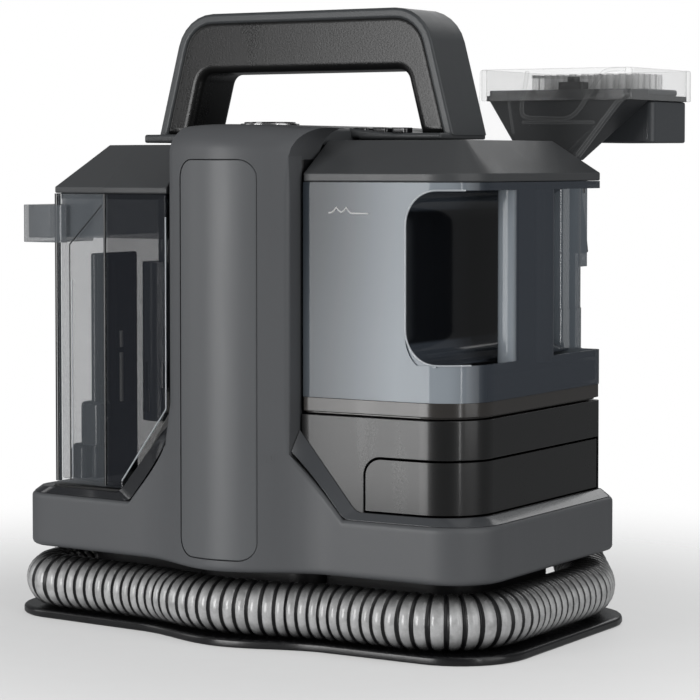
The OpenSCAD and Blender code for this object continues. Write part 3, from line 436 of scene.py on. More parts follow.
def solid(loops, levels, axis="Z"):
    """Points and faces of a closed solid: loops[0] is its outline and the others are holes;
    levels are (inset, depth)."""
    points, faces, starts, rings = [], [], [], []
    for inset, depth in levels:
        row, flat = [], []
        for k, loop in enumerate(loops):
            ring = ring_of(loop, inset if k == 0 else -inset)
            row.append((len(points), len(ring)))
            flat.append([Vector((u, v, 0)) for u, v in ring])
            points += [put(axis, u, v, depth) for u, v in ring]
        starts.append(row)
        rings.append(flat)
    for low, high in zip(starts, starts[1:]):
        for (a, n), (b, _) in zip(low, high):
            faces += [(a + i, a + (i + 1) % n, b + (i + 1) % n, b + i) for i in range(n)]
    for end in (0, -1):
        first = starts[end][0][0]
        if len(loops) == 1:
            faces.append(tuple(range(first, first + starts[end][0][1])))
        else:
            faces += [tuple(first + i for i in tri) for tri in tessellate_polygon(rings[end])]
    return points, faces


def edge_levels(low, high, r_low, r_high, steps=4):
    """Levels from low to high with a quarter round of its own radius at each end."""
    quarter = [(1 - math.sin(math.pi / 2 * k / steps), 1 - math.cos(math.pi / 2 * k / steps))
               for k in range(steps + 1)]
    start = [(r_low * a, low + r_low * b) for a, b in quarter] if r_low else [(0, low)]
    end = [(r_high * a, high - r_high * b) for a, b in reversed(quarter)] if r_high else [(0, high)]
    return start + end


def joined(*forms):
    """Several (points, faces) as one."""
    points, faces = [], []
    for more, their in forms:
        faces += [tuple(i + len(points) for i in face) for face in their]
        points += more
    return points, faces


def grid(rows, closed=False):
    """Faces over rows of equal length."""
    n, count = len(rows[0]), len(rows)
    points = [p for row in rows for p in row]
    faces = []
    for j in range(count - 1):
        for i in range(n if closed else n - 1):
            k = (i + 1) % n
            faces.append((j * n + i, j * n + k, (j + 1) * n + k, (j + 1) * n + i))
    return points, faces


def loft(rings):
    """Closed solid over rings of equal length, with flat ends."""
    points, faces = grid(rings, closed=True)
    n = len(rings[0])
    faces += [tuple(range(n)), tuple(range(len(points) - n, len(points)))]
    return points, faces


def swept(route, sizes, sides, phase=0.0):
    """Rings round a route of points; sizes gives the radius at each point."""
    route = [Vector(p) for p in route]
    side = None
    rings = []
    for i, here in enumerate(route):
        way = (route[min(i + 1, len(route) - 1)] - route[max(i - 1, 0)]).normalized()
        if side is None:
            side = Vector((0, 0, 1)) if abs(way.z) < 0.9 else Vector((1, 0, 0))
        side = (side - way * side.dot(way)).normalized()
        across = way.cross(side)
        r = sizes[i] if isinstance(sizes, (list, tuple)) else sizes
        rings.append([tuple(here + r * (math.cos(a) * side + math.sin(a) * across))
                      for a in (phase + 2 * math.pi * k / sides for k in range(sides))])
    return rings


def box_corners(x0, y0, x1, y1, r):
    """Rectangle with radii (front left, front right, rear right, rear left) or one for all."""
    r = r if isinstance(r, (list, tuple)) else [r] * 4
    return [(x0, y0, r[0]), (x1, y0, r[1]), (x1, y1, r[2]), (x0, y1, r[3])]


# ---- the foot and the front housing -----------------------------------------------------------

SWELL_HALF = 62
SKIRT = dict(half=149, right=-85.5, left=-85, out=19.5, rear=82, left_r=20, front_r=30, rear_r=12)
FOOT = dict(half=159, right=-90, left=-88, out=14.5, rear=92, left_r=32, front_r=40, rear_r=35)
COLUMN_HALF, COLUMN_TOP, COLUMN_BACK = 40, 276, -78
SKIRT_LOW, LEDGE = 40, 70


def front_y(x, plan):
    """Y of the front: straight wings with a swell between them."""
    share = min(1, max(0, (SWELL_HALF - x) / (2 * SWELL_HALF)))
    y = plan["right"] + (plan["left"] - plan["right"]) * share + 0.076 * max(0, -x - SWELL_HALF)
    if abs(x) < SWELL_HALF:
        y -= plan["out"] * (1 + math.cos(math.pi * x / SWELL_HALF)) / 2
    return y


def turn_points(cx, cy, r, a0, a1, steps):
    """Points on an arc round (cx, cy), from angle a0 to a1 in degrees."""
    return [(cx + r * math.cos(math.radians(a)), cy + r * math.sin(math.radians(a)))
            for a in (a0 + (a1 - a0) * k / steps for k in range(steps + 1))]


def foot_outline(plan, inset=0.0):
    """Outline of the skirt or the base plate, anticlockwise from its left side."""
    half, rl, rf, rr = plan["half"], plan["left_r"], plan["front_r"], plan["rear_r"]
    left_y = front_y(-half + rl, plan)
    wide = 2 * half - rl - rf - 1
    xs = [-half + rl + 0.5 + k * wide / 56 for k in range(57)]
    return (turn_points(-half + rl, left_y + rl, rl - inset, 180, 270, 10)
            + [(x, front_y(x, plan) + inset) for x in xs]
            + turn_points(half - rf, plan["right"] + rf, rf - inset, 270, 360, 10)
            + turn_points(half - rr, plan["rear"] - rr, rr - inset, 0, 90, 8)
            + turn_points(-half + rr, plan["rear"] - rr, rr - inset, 90, 180, 8))


piece("foot_plate", *solid([lambda inset: foot_outline(FOOT, inset)],
                           [(1.6, 0), (0.6, 0.3), (0, 1.1), (0, 3.3), (0.35, 4.1), (1.1, 4.7), (2.4, 5.0)]),
      "base_black", "machine", "base_plate")


def fillet(d, r):
    """Depth of a rounded edge of radius r at distance d from the edge."""
    return 0 if d >= r else r - math.sqrt(max(0, r * r - (r - d) ** 2))


EDGE_STEPS = [0, 0.12, 0.45, 1.0, 1.8, 2.8, 4.2]


def top_of(x):
    """Height of the front sheet at x: ledge, gusset or, before the column, the gusset's peak."""
    return LEDGE + (103 - LEDGE) * min(1, max(0, (69 - abs(x)) / (69 - COLUMN_HALF)))


def front_housing():
    """Skirt and gussets as one moulded sheet with rounded edges and a wall behind."""
    outline = foot_outline(SKIRT)
    outline = [p for p in outline if not (p[1] < -60 and abs(p[0]) < 72)]
    cut = next(i for i, p in enumerate(outline) if p[0] > 72 and p[1] < -60)
    dense = sorted(set([-72, -69, 69, 72] + [s * x for s in (-1, 1)
                   for x in (66, 62, 58, 54, 50, 47, 44, 42, 41, COLUMN_HALF)]
                   + [COLUMN_HALF * k / 16 for k in range(-16, 17)]))
    outline = outline[:cut] + [(x, front_y(x, SKIRT)) for x in dense] + outline[cut:]
    n = len(outline)
    normals = []
    for i in range(n):
        a, b = Vector(outline[i - 1]), Vector(outline[(i + 1) % n])
        along = (b - a).normalized()
        normals.append(Vector((-along.y, along.x)))
    rows = []
    low_r, high_r = 3.0, 2.6
    heights = [("low", d) for d in EDGE_STEPS] + [("mid", t) for t in (0.25, 0.5, 0.75)] \
        + [("high", d) for d in reversed(EDGE_STEPS)]
    for kind, value in [("back_low", 0)] + heights + [("back_high", 0)]:
        row = []
        for (x, y), inward in zip(outline, normals):
            front = y < -60
            top = top_of(x) if front else LEDGE
            soft = min(1, max(0, (abs(x) - COLUMN_HALF) / 8)) if front else 1
            if kind == "low":
                z, depth = SKIRT_LOW + value, fillet(value, low_r)
            elif kind == "mid":
                a, b = SKIRT_LOW + EDGE_STEPS[-1], top - EDGE_STEPS[-1]
                z, depth = a + (b - a) * value, 0
            elif kind == "high":
                z, depth = top - value, fillet(value, high_r) * soft
            elif kind == "back_low":
                z, depth = SKIRT_LOW, low_r + 1.2
            else:
                z, depth = top, (-82.6 - y if front and abs(x) < 68 else high_r + 2)
            if kind == "back_high" and front and abs(x) < COLUMN_HALF:
                depth = 4
            spot = Vector((x, y)) + inward * depth
            row.append((spot.x, spot.y, z))
        rows.append(row)
    back = []
    for row, lift in ((rows[-1], -0.1), (rows[0], 0.1)):
        back.append([(x + inward.x, y + inward.y, z + lift)
                     for (x, y, z), inward in zip(row, normals)])
    closed_rows = rows + back
    points, faces = grid(closed_rows, closed=True)
    m = len(closed_rows)
    faces += [((m - 1) * n + i, (m - 1) * n + (i + 1) % n, (i + 1) % n, i) for i in range(n)]
    return points, faces


def crown(x):
    """Height of the column's top, which is softly rounded at its left corner."""
    return COLUMN_TOP - 1.8 * (x / COLUMN_HALF) ** 2 - fillet(x + COLUMN_HALF, 11)


def column_front():
    """Front of the column above the gussets, rolled back at its top, as a closed solid."""
    xs = sorted(set([s * (COLUMN_HALF - d) for s in (-1, 1) for d in (0, 0.1, 0.4, 0.9, 1.6, 2.6, 4, 6, 8.5)]
                    + [31 * k / 12 for k in range(-12, 13)]))
    heights = [99, 101, 103, 107, 111, 116, 121, 126, 160, 200, 240, 246, 251, 256, 260]
    rows = []
    for z in heights:
        grow = min(1, max(0, (z - 101) / 25))
        left_r, right_r = 0.6 + 9.4 * grow, (0.6 + 1.4 * grow) * min(1, max(0.02, (256 - z) / 14))
        row = [(x, front_y(x, SKIRT) + fillet(x + COLUMN_HALF, left_r) + fillet(COLUMN_HALF - x, right_r), z)
               for x in xs]
        rows.append(row)
    top_row = rows[-1]
    for k in range(1, 13):
        t = k / 12
        row = []
        for x, y, _ in top_row:
            roll = min(15, COLUMN_BACK - y - 0.4)
            a = math.pi / 2 * t
            row.append((x, y + roll * (1 - math.cos(a)),
                        crown(x) - roll + roll * math.sin(a) if roll > 0 else crown(x)))
        rows.append(row)
    rows.append([(x, COLUMN_BACK, crown(x)) for x in xs])
    rows.append([(x, COLUMN_BACK, 99) for x in xs])
    points, faces = grid(rows, closed=False)
    n, m = len(xs), len(rows)
    faces.append(tuple(j * n for j in range(m)))
    faces.append(tuple(j * n + n - 1 for j in reversed(range(m))))
    faces += [((m - 1) * n + i, i, i + 1, (m - 1) * n + i + 1) for i in range(n - 1)]
    return points, faces


PANEL = (-24, 46, 25, 257.6)
PANEL_GAP = 0.35


def inlay():
    """Long panel let into the column, which follows its swell and has rounded corners."""
    x0, z0, x1, z1 = PANEL
    levels = ((0.7, 0.25), (0.25, 0.38), (0, 0.75), (0, 3.4))
    rings = []
    for inset, depth in levels:
        r = 9.6 - inset
        left, right = x0 + PANEL_GAP + inset, x1 - PANEL_GAP - inset
        low, high = z0 + PANEL_GAP + inset, z1 - PANEL_GAP - inset
        arc = [(r - r * math.cos(a), r - r * math.sin(a)) for a in (math.pi / 2 * k / 10 for k in range(11))]
        xs = [left + dx for dx, _ in arc] \
            + [left + r + (right - left - 2 * r) * k / 12 for k in range(1, 12)] \
            + [right - dx for dx, _ in reversed(arc)]
        lift = [dz for _, dz in arc] + [0] * 11 + [dz for _, dz in reversed(arc)]
        bottom = [(x, front_y(x, SKIRT) + depth, low + dz) for x, dz in zip(xs, lift)]
        top = [(x, front_y(x, SKIRT) + depth, high - dz) for x, dz in zip(xs, lift)]
        rings.append(bottom + top[::-1])
    points, faces = grid(rings, closed=True)
    n = len(rings[0])
    for start in (0, (len(rings) - 1) * n):
        faces += [(start + i, start + i + 1, start + n - 2 - i, start + n - 1 - i) for i in range(n // 2 - 1)]
    return points, faces


def cut_by(thing, cutter):
    """Cuts one piece by another, applies it, and drops the cutter."""
    modifier = thing.modifiers.new("cut", "BOOLEAN")
    modifier.operation, modifier.object, modifier.solver = "DIFFERENCE", cutter, "EXACT"
    thing.modifiers.move(len(thing.modifiers) - 1, 0)
    apply_first(thing)
    bpy.data.objects.remove(cutter)


def apply_first(thing):
    """Makes the first modifier's result the mesh itself."""
    others = thing.modifiers[1:]
    for modifier in others:
        modifier.show_viewport = False
    bpy.context.view_layer.update()
    made = bpy.data.meshes.new_from_object(thing.evaluated_get(bpy.context.evaluated_depsgraph_get()))
    thing.modifiers.remove(thing.modifiers[0])
    thing.data = made
    for modifier in thing.modifiers:
        modifier.show_viewport = True
    finish_mesh(thing)


def cutter(points, faces):
    """Closed solid, in millimetres, that cuts another piece."""
    mesh = bpy.data.meshes.new("cutter")
    mesh.from_pydata([Vector(p) * MM for p in points], [], faces)
    form = bmesh.new()
    form.from_mesh(mesh)
    bmesh.ops.recalc_face_normals(form, faces=form.faces)
    form.to_mesh(mesh)
    form.free()
    thing = bpy.data.objects.new("cutter", mesh)
    scene.collection.objects.link(thing)
    return thing


x0, z0, x1, z1 = PANEL
for name, form in (("front_skirt", front_housing()), ("column_front", column_front())):
    shell = piece(name, *form, "housing_grey", "machine", "front_shell", angle=40)
    pocket = box_corners(x0, 90, x1, z1, [0, 0, 10, 10]) if name == "column_front" \
        else box_corners(x0, z0, x1, 120, [10, 10, 0, 0])
    cut_by(shell, cutter(*solid([pocket], [(0, -120), (0, -82)], "Y")))
piece("column_inlay", *inlay(), "panel_grey", "machine", "column_panel", angle=40)


def shoulder():
    """Flare at the top right of the column, hollowed underneath, that runs out to the hood's wing."""
    r, rings = 17, []
    for k in range(15):
        x = COLUMN_HALF - 0.6 + (r - 1.2 + 0.6) * (1 - (1 - k / 14) ** 1.6)
        low = 257 + math.sqrt(max(0, r * r - (COLUMN_HALF + r - x) ** 2)) if x > COLUMN_HALF else 257
        high, y = 274.2 - (x - COLUMN_HALF) * 0.02, front_y(x, SKIRT)
        roll = min(15, COLUMN_BACK - y - 0.4)
        a0 = math.asin(min(1, max(0, (low - high + roll) / roll)))
        start = [(x, y, low)] if low < high - roll else []
        arc = [(x, y + roll * (1 - math.cos(a)), high - roll + roll * math.sin(a))
               for a in (a0 + (math.pi / 2 - a0) * j / 8 for j in range(9))]
        rings.append((start or [arc[0]]) + arc + [(x, -61, high), (x, -61, min(low, high - 0.3))])
    return loft(rings)


piece("column_shoulder", *shoulder(), "housing_grey", "machine", "front_shell", angle=35)


WING_LEFT, WING_RIGHT = 98, 95.5
KEYS = [(45, -23), (57, -23), (69, -23)]

# Cover over the spine with a soft crown, and the wings that cross it
middle = [(-40, 265, 0.5), (40, 265, 0.5), (40, 274.2, 2.5), (14, 276, 60), (-14, 276, 60), (-40, 274.2, 6)]
wings = [(-WING_LEFT, 266.8, 1), (-46, 266.8, 1), (-44, 269, 1), (44, 269, 1), (45, 268.2, 1),
         (WING_RIGHT, 268.2, 1), (WING_RIGHT, 271.5, 1.2), (66, 271.6, 20), (38, 274.4, 8),
         (-38, 274.4, 8), (-66, 271.6, 20), (-WING_LEFT, 271.5, 1.2)]
cover = piece("hood", *solid([middle], edge_levels(-77.9, 82, 0.3, 4), "Y"),
              "hood_grey", "machine", "top_hood", angle=30)
cut_by(cover, cutter(*solid([turn_points(0, -47, 16.2, 0, 352.5, 47)], [(0, 271), (0, 290)])))
cover = piece("hood_wings", *solid([wings], edge_levels(-28, 23, 1.6, 1.6), "Y"),
              "hood_grey", "machine", "top_hood", angle=30)
cut_by(cover, cutter(*joined(*[solid([box_corners(x - 5.3, y - 4.3, x + 5.3, y + 4.3, 2.3)],
                                     [(0, 270.2), (0, 290)]) for x, y in KEYS])))


def bent(a, b, c, r, n1, n2, n3):
    """Open path from a to c through a rounded bend at b."""
    a, b, c = Vector(a), Vector(b), Vector(c)
    u, v = (b - a).normalized(), (c - b).normalized()
    back = r * math.tan(u.angle(v) / 2)
    p, q = b - u * back, b + v * back
    curve = [p * (1 - t) ** 2 + b * 2 * t * (1 - t) + q * t * t for t in (k / n2 for k in range(n2 + 1))]
    return [a.lerp(p, k / n1) for k in range(n1)] + curve + [q.lerp(c, k / n3) for k in range(1, n3 + 1)]


def rail(side, peak, foot_x, bay_x, bay_y, bay_rear, bay_r, outer_r):
    """Sloping frame round a bay: down beside the gusset, round the bend and along the skirt's edge."""
    half, low, high = 149, 70.1, 74.1
    fy = front_y(side * (half - outer_r), SKIRT)
    outer = [(x, front_y(side * x, SKIRT) + 1.5, z) for x, z in
             bent((40.4, 104.6), (69.3, low), (half - outer_r, low), 9, 6, 6, 8)]
    inner = [(x, bay_y, z) for x, z in
             bent((40.4, peak), (foot_x, high), (bay_x - bay_r, high), 9, 6, 6, 8)]
    turn = [270 + 90 * k / 10 for k in range(1, 11)]
    outer += [(half - outer_r + (outer_r - 1.5) * math.cos(math.radians(a)),
               fy + outer_r + (outer_r - 1.5) * math.sin(math.radians(a)), low) for a in turn]
    inner += [(bay_x - bay_r + bay_r * math.cos(math.radians(a)),
               bay_y + bay_r + bay_r * math.sin(math.radians(a)), high) for a in turn]
    turn = [90 * k / 8 for k in range(9)]
    outer += [(137 + 10.5 * math.cos(math.radians(a)), 70 + 10.5 * math.sin(math.radians(a)), low)
              for a in turn]
    inner += [(bay_x - 3 + 3 * math.cos(math.radians(a)), bay_rear - 3 + 3 * math.sin(math.radians(a)), high)
              for a in turn]
    outer.append((40.4, 80.5, low))
    inner.append((40.4, bay_rear, high))
    rings = []
    for o, i in zip(outer, inner):
        o, i = Vector(o), Vector(i)
        gap = (i - o).length
        share = min(0.8, 6.8 / gap)
        ridge = o.lerp(i, share)
        ridge.z = i.z - (i.z - o.z) * (1 - share) * 0.25 if o.z < low + 0.5 else ridge.z
        rings.append([(side * p.x, p.y, p.z) for p in
                      (o, ridge, i, Vector((i.x, i.y, min(i.z - 0.5, o.z + 0.1))))])
    return loft(rings)


piece("right_rail", *rail(1, 115.5, 75.2, 140.8, -80.85, 74.8, 28.3, 30),
      "trim_gloss", "machine", "right_trim", angle=40, soft=0.25)
piece("left_rail", *rail(-1, 120.5, 79, 128.9, -78.4, 73.6, 8.2, 20),
      "trim_dark", "machine", "left_trim", angle=40, soft=0.25)


# ---- handle ------------------------------------------------------------------------------------

LEAN = math.radians(14.8)


def arch(inset, top, r, foot=270.5):
    """Half the arch: its foot and its corner, right side."""
    nx, nz = math.cos(LEAN), math.sin(LEAN)
    reach = nx * 96 + nz * 271.5 - inset
    return (reach - nz * foot) / nx, (reach - nz * top) / nx, top, r, foot


def arch_band(outer, inner):
    """Outline between two arches, joined at their feet."""
    fx, tx, top, r, foot = outer
    gx, ux, under, ri, _ = inner
    return [(gx, foot, 0), (fx, foot, 0), (tx, top, r), (-tx, top, r), (-fx, foot, 0), (-gx, foot, 0),
            (-ux, under, ri), (ux, under, ri)]


piece("handle_band", *solid([arch_band(arch(0, 339.5, 24), arch(5.7, 333.8, 18.3))],
                            edge_levels(-16, 23, 1.8, 1.8), "Y"), "handle_grey", "machine", "handle_shell")
piece("handle_core", *solid([arch_band(arch(2.6, 336.9, 21.4), arch(20, 306, 7))],
                            edge_levels(-15.4, 22.4, 5, 5, 6), "Y"), "grip_black", "machine", "handle_grip")


# ---- hose ----------------------------------------------------------------------------------------

LIE = 20.4
ROUTE = [(-18, 75), (-30, 75), (-55, 75), (-80, 75), (-105, 75), (-122, 71), (-135, 59), (-141, 42),
         (-141, 20), (-141, 0), (-141, -20), (-141, -40), (-138.5, -60), (-127, -72.5), (-106, -75),
         (-84, -76),
         (-62, -78), (-42, -82), (-22, -88), (0, -91), (22, -89), (42, -84), (62, -81), (85, -81),
         (108, -81), (126, -76), (139, -63), (144, -45), (144, -20), (144, 5), (144, 28), (143, 48),
         (137, 67), (127, 84, 22), (115, 98, 29), (106, 104, 42), (102, 104, 57), (102, 102, 71),
         (102, 97, 85), (102, 94, 96), (102, 93, 104), (102, 93, 116)]
ROUTE = [(*p, LIE) if len(p) == 2 else p for p in ROUTE]


def smooth_route(route, step):
    """Points at an even step along a smooth curve through the route."""
    p = [Vector(q) for q in route]
    fine = []
    for i in range(len(p) - 1):
        a, b, c, d = p[max(i - 1, 0)], p[i], p[i + 1], p[min(i + 2, len(p) - 1)]
        for k in range(24):
            t = k / 24
            fine.append(0.5 * (2 * b + (c - a) * t + (2 * a - 5 * b + 4 * c - d) * t * t
                               + (3 * b - a - 3 * c + d) * t ** 3))
    fine.append(p[-1])
    out, need = [fine[0]], step
    for a, b in zip(fine, fine[1:]):
        length = (b - a).length
        while need <= length:
            out.append(a + (b - a) * (need / length))
            need += step
        need -= length
    return out


PITCH = 6.8
PARTS = 20
SIDES = 28
RING = [(0.00, 13.1), (0.10, 13.1), (0.20, 14.15), (0.35, 14.8), (0.55, 15.0), (0.75, 14.8), (0.90, 14.15)]


def corrugated():
    """The hose: wide clear bands with a narrow dark groove between them."""
    fine = smooth_route(ROUTE, PITCH / PARTS)
    spots, sizes, dark = [], [], []
    for turn in range((len(fine) - 1) // PARTS):
        for share, r in RING:
            spots.append(fine[turn * PARTS + round(share * PARTS)])
            sizes.append(r)
            dark.append(share < 0.22 or share > 0.88)
    points, faces = loft(swept(spots, sizes, SIDES))
    slots = [1 if (dark[j] and dark[j + 1]) else 0 for j in range(len(spots) - 1) for _ in range(SIDES)]
    return points, faces, slots + [1, 1]


points, faces, slots = corrugated()
hose = piece("suction_hose", points, faces, "hose_clear", None, angle=60, extra=["inner_black"])
for polygon, index in zip(hose.data.polygons, slots):
    polygon.material_index = index
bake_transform(hose)
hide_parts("hose")


# ---- tank lids -----------------------------------------------------------------------------------

def lid_rings(base, top, z_low, z_band, z_top):
    """Straight band, then slopes to a smaller top."""
    under = rounded(base, 0.5, 8)
    return loft([[(x, y, z_low) for x, y in under],
                 [(x, y, z_low + 0.5) for x, y in rounded(base, 0, 8)],
                 [(x, y, z_band) for x, y in rounded(base, 0, 8)],
                 [(x, y, z_top) for x, y in rounded(top, 0, 8)]])


piece("clean_lid", *lid_rings(box_corners(42, -80, 141, 73.6, [1.2, 28, 3, 1.2]),
                              box_corners(42, -55, 123, 50.6, [1.2, 6, 3, 1.2]), 245.7, 250, 267.5),
      "lid_grey", "clean_water_tank", "clean_tank_lid", soft=0.8, angle=24)
lid_base = [(-46.5, -78.5, 1), (-46.5, 73.5, 1), (-127, 73.5, 3), (-127, -73.8, 2), (-88.5, -78.5, 3)]
lid_top = [(-46.5, -56, 1), (-46.5, 53, 1), (-108.5, 53, 3), (-108.5, -47.3, 3), (-84.5, -56, 3)]
piece("dirty_lid", *lid_rings(lid_base, lid_top, 238.7, 242, 265.5),
      "lid_grey", "dirty_water_tank", "dirty_tank_lid", soft=0.8, angle=20)


# ---- edges and marks of the tanks -----------------------------------------------------------------

def tube(points, r, sides=10, step=1.0):
    """Closed round bar along a smooth path."""
    return loft(swept(smooth_route(points, step), r, sides))


def bar(points, r, sides=10):
    """Closed round bar along straight runs, with each corner turned in a few steps."""
    route = [Vector(points[0])]
    for a, b, c in zip(points, points[1:], points[2:]):
        a, b, c = Vector(a), Vector(b), Vector(c)
        near, far = b + (a - b).normalized() * 2 * r, b + (c - b).normalized() * 2 * r
        route += [near.lerp(b, t).lerp(b.lerp(far, t), t) for t in (0, 0.25, 0.5, 0.75, 1)]
    return loft(swept(route + [Vector(points[-1])], r, sides))


GAP_X, GAP_LOW, GAP_HIGH, GAP_R = 104, 152, 241.5, 18
TANK_HALF, TANK_FRONT, TANK_R = 141, -80, 28


def tank_face(x, proud):
    """Point's Y on the front of the clean tank, round its corner."""
    turn = max(0, x - (TANK_HALF - TANK_R))
    return TANK_FRONT + TANK_R - math.sqrt((TANK_R + proud) ** 2 - turn ** 2)


# Painted highlight: a pale bar round the edge of the hand gap stands in for light caught on the tank's rim
along_top = [(x, GAP_HIGH) for x in (134, 131, 128, 125)]
corner_high = turn_points(GAP_X + GAP_R, GAP_HIGH - GAP_R, GAP_R, 90, 180, 12)
corner_low = turn_points(GAP_X + GAP_R, GAP_LOW + GAP_R, GAP_R, 180, 270, 12)
along_low = [(x, GAP_LOW) for x in (125, 128, 131, 134, 136)]
piece("gap_rim", *loft(swept([(x, tank_face(x, 0.05), z) for x, z in
                              along_top + corner_high + corner_low + along_low], 0.5, 10)),
      "rim_pale", "clean_water_tank", angle=60)
fill = [(x, z, 0) for x, z in corner_low] + [(GAP_X + GAP_R, GAP_LOW - 1, 0), (GAP_X - 0.5, GAP_LOW - 1, 0),
                                            (GAP_X - 0.5, GAP_LOW + GAP_R, 0)]
piece("gap_corner", *solid([fill], [(0, -79.2), (0, 72)], "Y"), "smoke_blue", "clean_water_tank", angle=30)

HIP = (-88.5, -78.2)
FACET = 4.7 / 38


def hip_face(x):
    """Point's Y on the dirty tank's turned-back facet."""
    return -78.1 - FACET * (x - HIP[0])


for name, slot, path, r in (
        # Painted shade: the dark bars (outer, hip and back edges, spout line) stand in for the dark lines
        # where clear walls are seen edge-on
        ("outer_edge", "edge_dark", [(-125.6, -72.3, 77), (-125.6, -72.3, 238.4)], 1.7),
        ("hip_edge", "edge_dark", [(*HIP, 77), (*HIP, 238.4)], 0.8),
        # Painted highlight: the pale bars (inner edge, spout light) stand in for light caught along edges
        ("inner_edge", "edge_pale", [(-47.5, -78.1, 226), (-47.5, -78.1, 121.4), (-77.4, -78.1, 80.4)], 0.45),
        ("back_edge", "edge_dark", [(-126.3, 72.6, 77), (-126.3, 72.6, 238.4)], 1.0),
        ("spout_line", "edge_dark", [(-115.5, hip_face(-115.5), 78), (-115.5, hip_face(-115.5), 210),
                                     (-91, hip_face(-91), 232)], 0.35),
        ("spout_light", "edge_pale", [(-113.7, hip_face(-113.7), 79), (-113.7, hip_face(-113.7), 190)], 0.3),
        ("float_gauge", "float_white", [(-80, -74.6, 124), (-80, -74.6, 151)], 1.1),
        ("gauge_tip", "float_white", [(-80, -74.6, 154), (-80, -74.6, 163)], 1.0)):
    piece(name, *bar(path, r), slot, "dirty_water_tank", angle=60)

collar = [(-49.5, -75.5, 1), (-49.5, 70.5, 1), (-124, 70.5, 3), (-124, -71.3, 2), (-88.3, -75.5, 3)]
hollow = [(x + (1.4 if x < -87 else -1.4), y * 0.98, r) for x, y, r in collar]
piece("lid_skirt", *solid([collar[::-1], hollow[::-1]], [(0, 214), (0, 238)]),
      "grip_smoke", "dirty_water_tank", angle=30)

# Plates that still the dirty water under its inlet
baffle = [solid([box_corners(-108, -66, -104, -26, 1.5)], edge_levels(78.4, 205, 0.5, 1.2)),
          solid([box_corners(-113, -70, -99, -57, 3)], edge_levels(97, 122, 1, 2.5)),
          solid([box_corners(-121, -69, -110, -54, 3)], edge_levels(78.4, 98, 0.5, 4))]
piece("still_plates", *joined(*baffle), "baffle_smoke", "dirty_water_tank", "tank_baffle", angle=40)

# Fill line with a small wave before it
mark = [(58, 229.5), (59.6, 229.7), (61.2, 230.7), (62.6, 232.4), (64, 230.9), (65.6, 229.9), (67.2, 230.7),
        (68.6, 232.4), (70, 230.7), (71.2, 229.6), (72.5, 229.4), (82, 229.4)]
piece("fill_mark", *loft(swept([(x, -80.1, z) for x, z in mark], 0.42, 8)), "mark_white",
      "clean_water_tank", angle=60)


# ---- hand tool ---------------------------------------------------------------------------------------

def window():
    """Leaning clear front of the hand tool."""
    shape = [(61.5, 258, 3), (123.5, 258, 6), (146, 292, 14), (152, 293, 1), (152, 309, 2), (56, 309, 2),
             (56.5, 292, 10)]
    rings = []
    for inset, depth in edge_levels(0, 2.4, 0.7, 0.3, 3):
        rings.append([(x, 75.6 + (12.3 if z > 297 else max(0, z - 258) * 0.315) + depth, z)
                      for x, z in rounded(shape, inset)])
    return loft(rings)


def tool_rim():
    """Clear wall round the mouth, thicker along its top."""
    outer = box_corners(56, 88.2, 152, 176, [3, 3, 8, 8])
    inner = box_corners(58.3, 90.5, 149.7, 173.7, [2, 2, 6, 6])
    levels = [(0.4, 291.0), (0, 291.5), (0, 308.2), (0.25, 308.7), (0.8, 309)]
    return solid([outer, inner], levels)


piece("tool_window", *window(), "tool_clear", "hand_tool", "head_cover", angle=40)
piece("tool_rim", *tool_rim(), "tool_clear", "hand_tool", "head_cover", angle=40)
for name, path, r in (
        ("tool_channel", [(87, 88, 307.5), (86.6, 86.4, 300), (86, 83, 286), (90, 81.5, 281.5),
                          (104, 81.2, 280.6), (116, 81.4, 280.8), (122.5, 83, 286), (128.5, 86, 297),
                          (133, 88, 304.5), (138, 88, 307.4), (149, 88, 307.6)], 1.15),
        ("tool_rib", [(75.5, 85.6, 296.5), (79, 82.4, 284), (82.5, 79.6, 272)], 0.7),
        ("tool_ledge", [(88, 80.6, 278.4), (110, 80.4, 278.2), (132, 82.2, 278.2)], 0.9),
        ("tool_slot", [(90, 87.9, 304.3), (110, 87.9, 303.9), (130, 87.9, 303.6)], 0.8),
        ("tool_edge", [(124.4, 77.4, 259.5), (134, 82.4, 274.2), (144, 87.2, 289), (147.5, 88.2, 292.2),
                       (152, 88.6, 293)], 1.7)):
    piece(name, *tube(path, r), "tool_clear", "hand_tool", "head_cover", angle=50)


# ---- carried-over parts ----------------------------------------------------------------------------

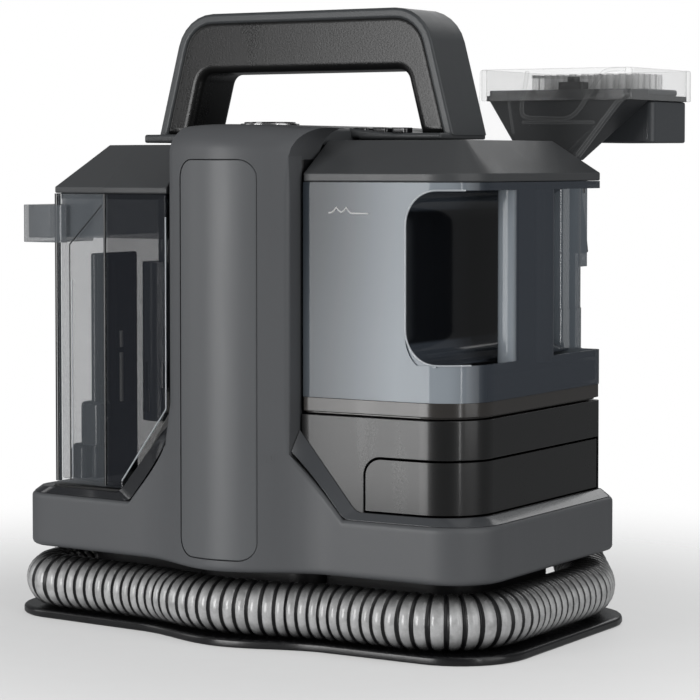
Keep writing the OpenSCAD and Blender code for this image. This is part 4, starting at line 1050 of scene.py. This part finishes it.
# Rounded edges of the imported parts, as the width of each bevel
EDGE = {"tank_tray": 1.2, "accessory_drawer": 1.2, "clean_tank": 0.8, "dirty_tank": 0.8, "top_hood": 1.2,
        "rear_cover": 1.2, "head_body": 1.5, "brush_block": 1.2, "clean_tank_foot": 0.8,
        "power_ring": 0.4, "power_button": 0.6, "mode_key_1": 0.6, "mode_key_2": 0.6,
        "mode_key_3": 0.6, "wand_upper": 0.8, "hose_cuff": 0.4, "trigger": 0.8,
        "dirty_cradle": 1.0, "dirty_tank_grip": 0.9, "tool_holder": 0.8, "exhaust_grille": 0.4,
        "power_gland": 0.5, "spray_nozzle": 0.4, "base_pads": 0.3}
# Finishes that differ from those of the other nodes in the same slot
FINER = {"dirty_tank_grip": "grip_smoke", "separator_tube": "duct_smoke", "float_cage": "duct_smoke",
         "tank_baffle": "baffle_smoke"}
slot_of = {part["node"]: part["material_slot"] for part in frame["record"]["subparts"] if "node" in part}
for name, node in frame["nodes"].items():
    slot = slot_of.get(name) or node.data.materials[0].name
    slot = FINER.get(name, slot)
    for index in range(len(node.material_slots)):
        node.material_slots[index].link = "OBJECT"
        node.material_slots[index].material = finish_of[slot.split(".")[0]].material
    weld = node.modifiers.new("weld", "WELD")
    weld.merge_threshold = 1e-6
    if name in EDGE:
        flat = node.modifiers.new("flat", "DECIMATE")
        flat.decimate_type, flat.angle_limit = "DISSOLVE", math.radians(0.6)
        bevel = node.modifiers.new("edges", "BEVEL")
        bevel.width, bevel.segments = EDGE[name] * MM, 3
        bevel.limit_method, bevel.angle_limit = "ANGLE", math.radians(30)
    weigh = node.modifiers.new("shading", "WEIGHTED_NORMAL")
    weigh.keep_sharp = True


# ---- floor -------------------------------------------------------------------------------------------

FLOOR_HALF = 6
FLOOR_COVER = 0.58

floor_finish = Finish("floor_white", None)
speck = floor_finish.noise(60, 3.0)
away = floor_finish.node("ShaderNodeVectorMath", {"operation": "LENGTH"}, {0: floor_finish.place}, "Value")
floor_finish.feed(Base_Color=floor_finish.mix(speck, (0.93, 0.93, 0.93), (0.96, 0.96, 0.96)),
                  Roughness=0.5 + speck * 0.1, Alpha=FLOOR_COVER - away.over(0.14, 0.55) * FLOOR_COVER)
floor_mesh = bpy.data.meshes.new("floor")
floor_mesh.from_pydata([(x * FLOOR_HALF, y * FLOOR_HALF, 0) for x, y in ((-1, -1), (1, -1), (1, 1), (-1, 1))],
                       [], [(0, 1, 2, 3)])
floor_mesh.materials.append(floor_finish.material)
floor = bpy.data.objects.new("floor", floor_mesh)
scene.collection.objects.link(floor)
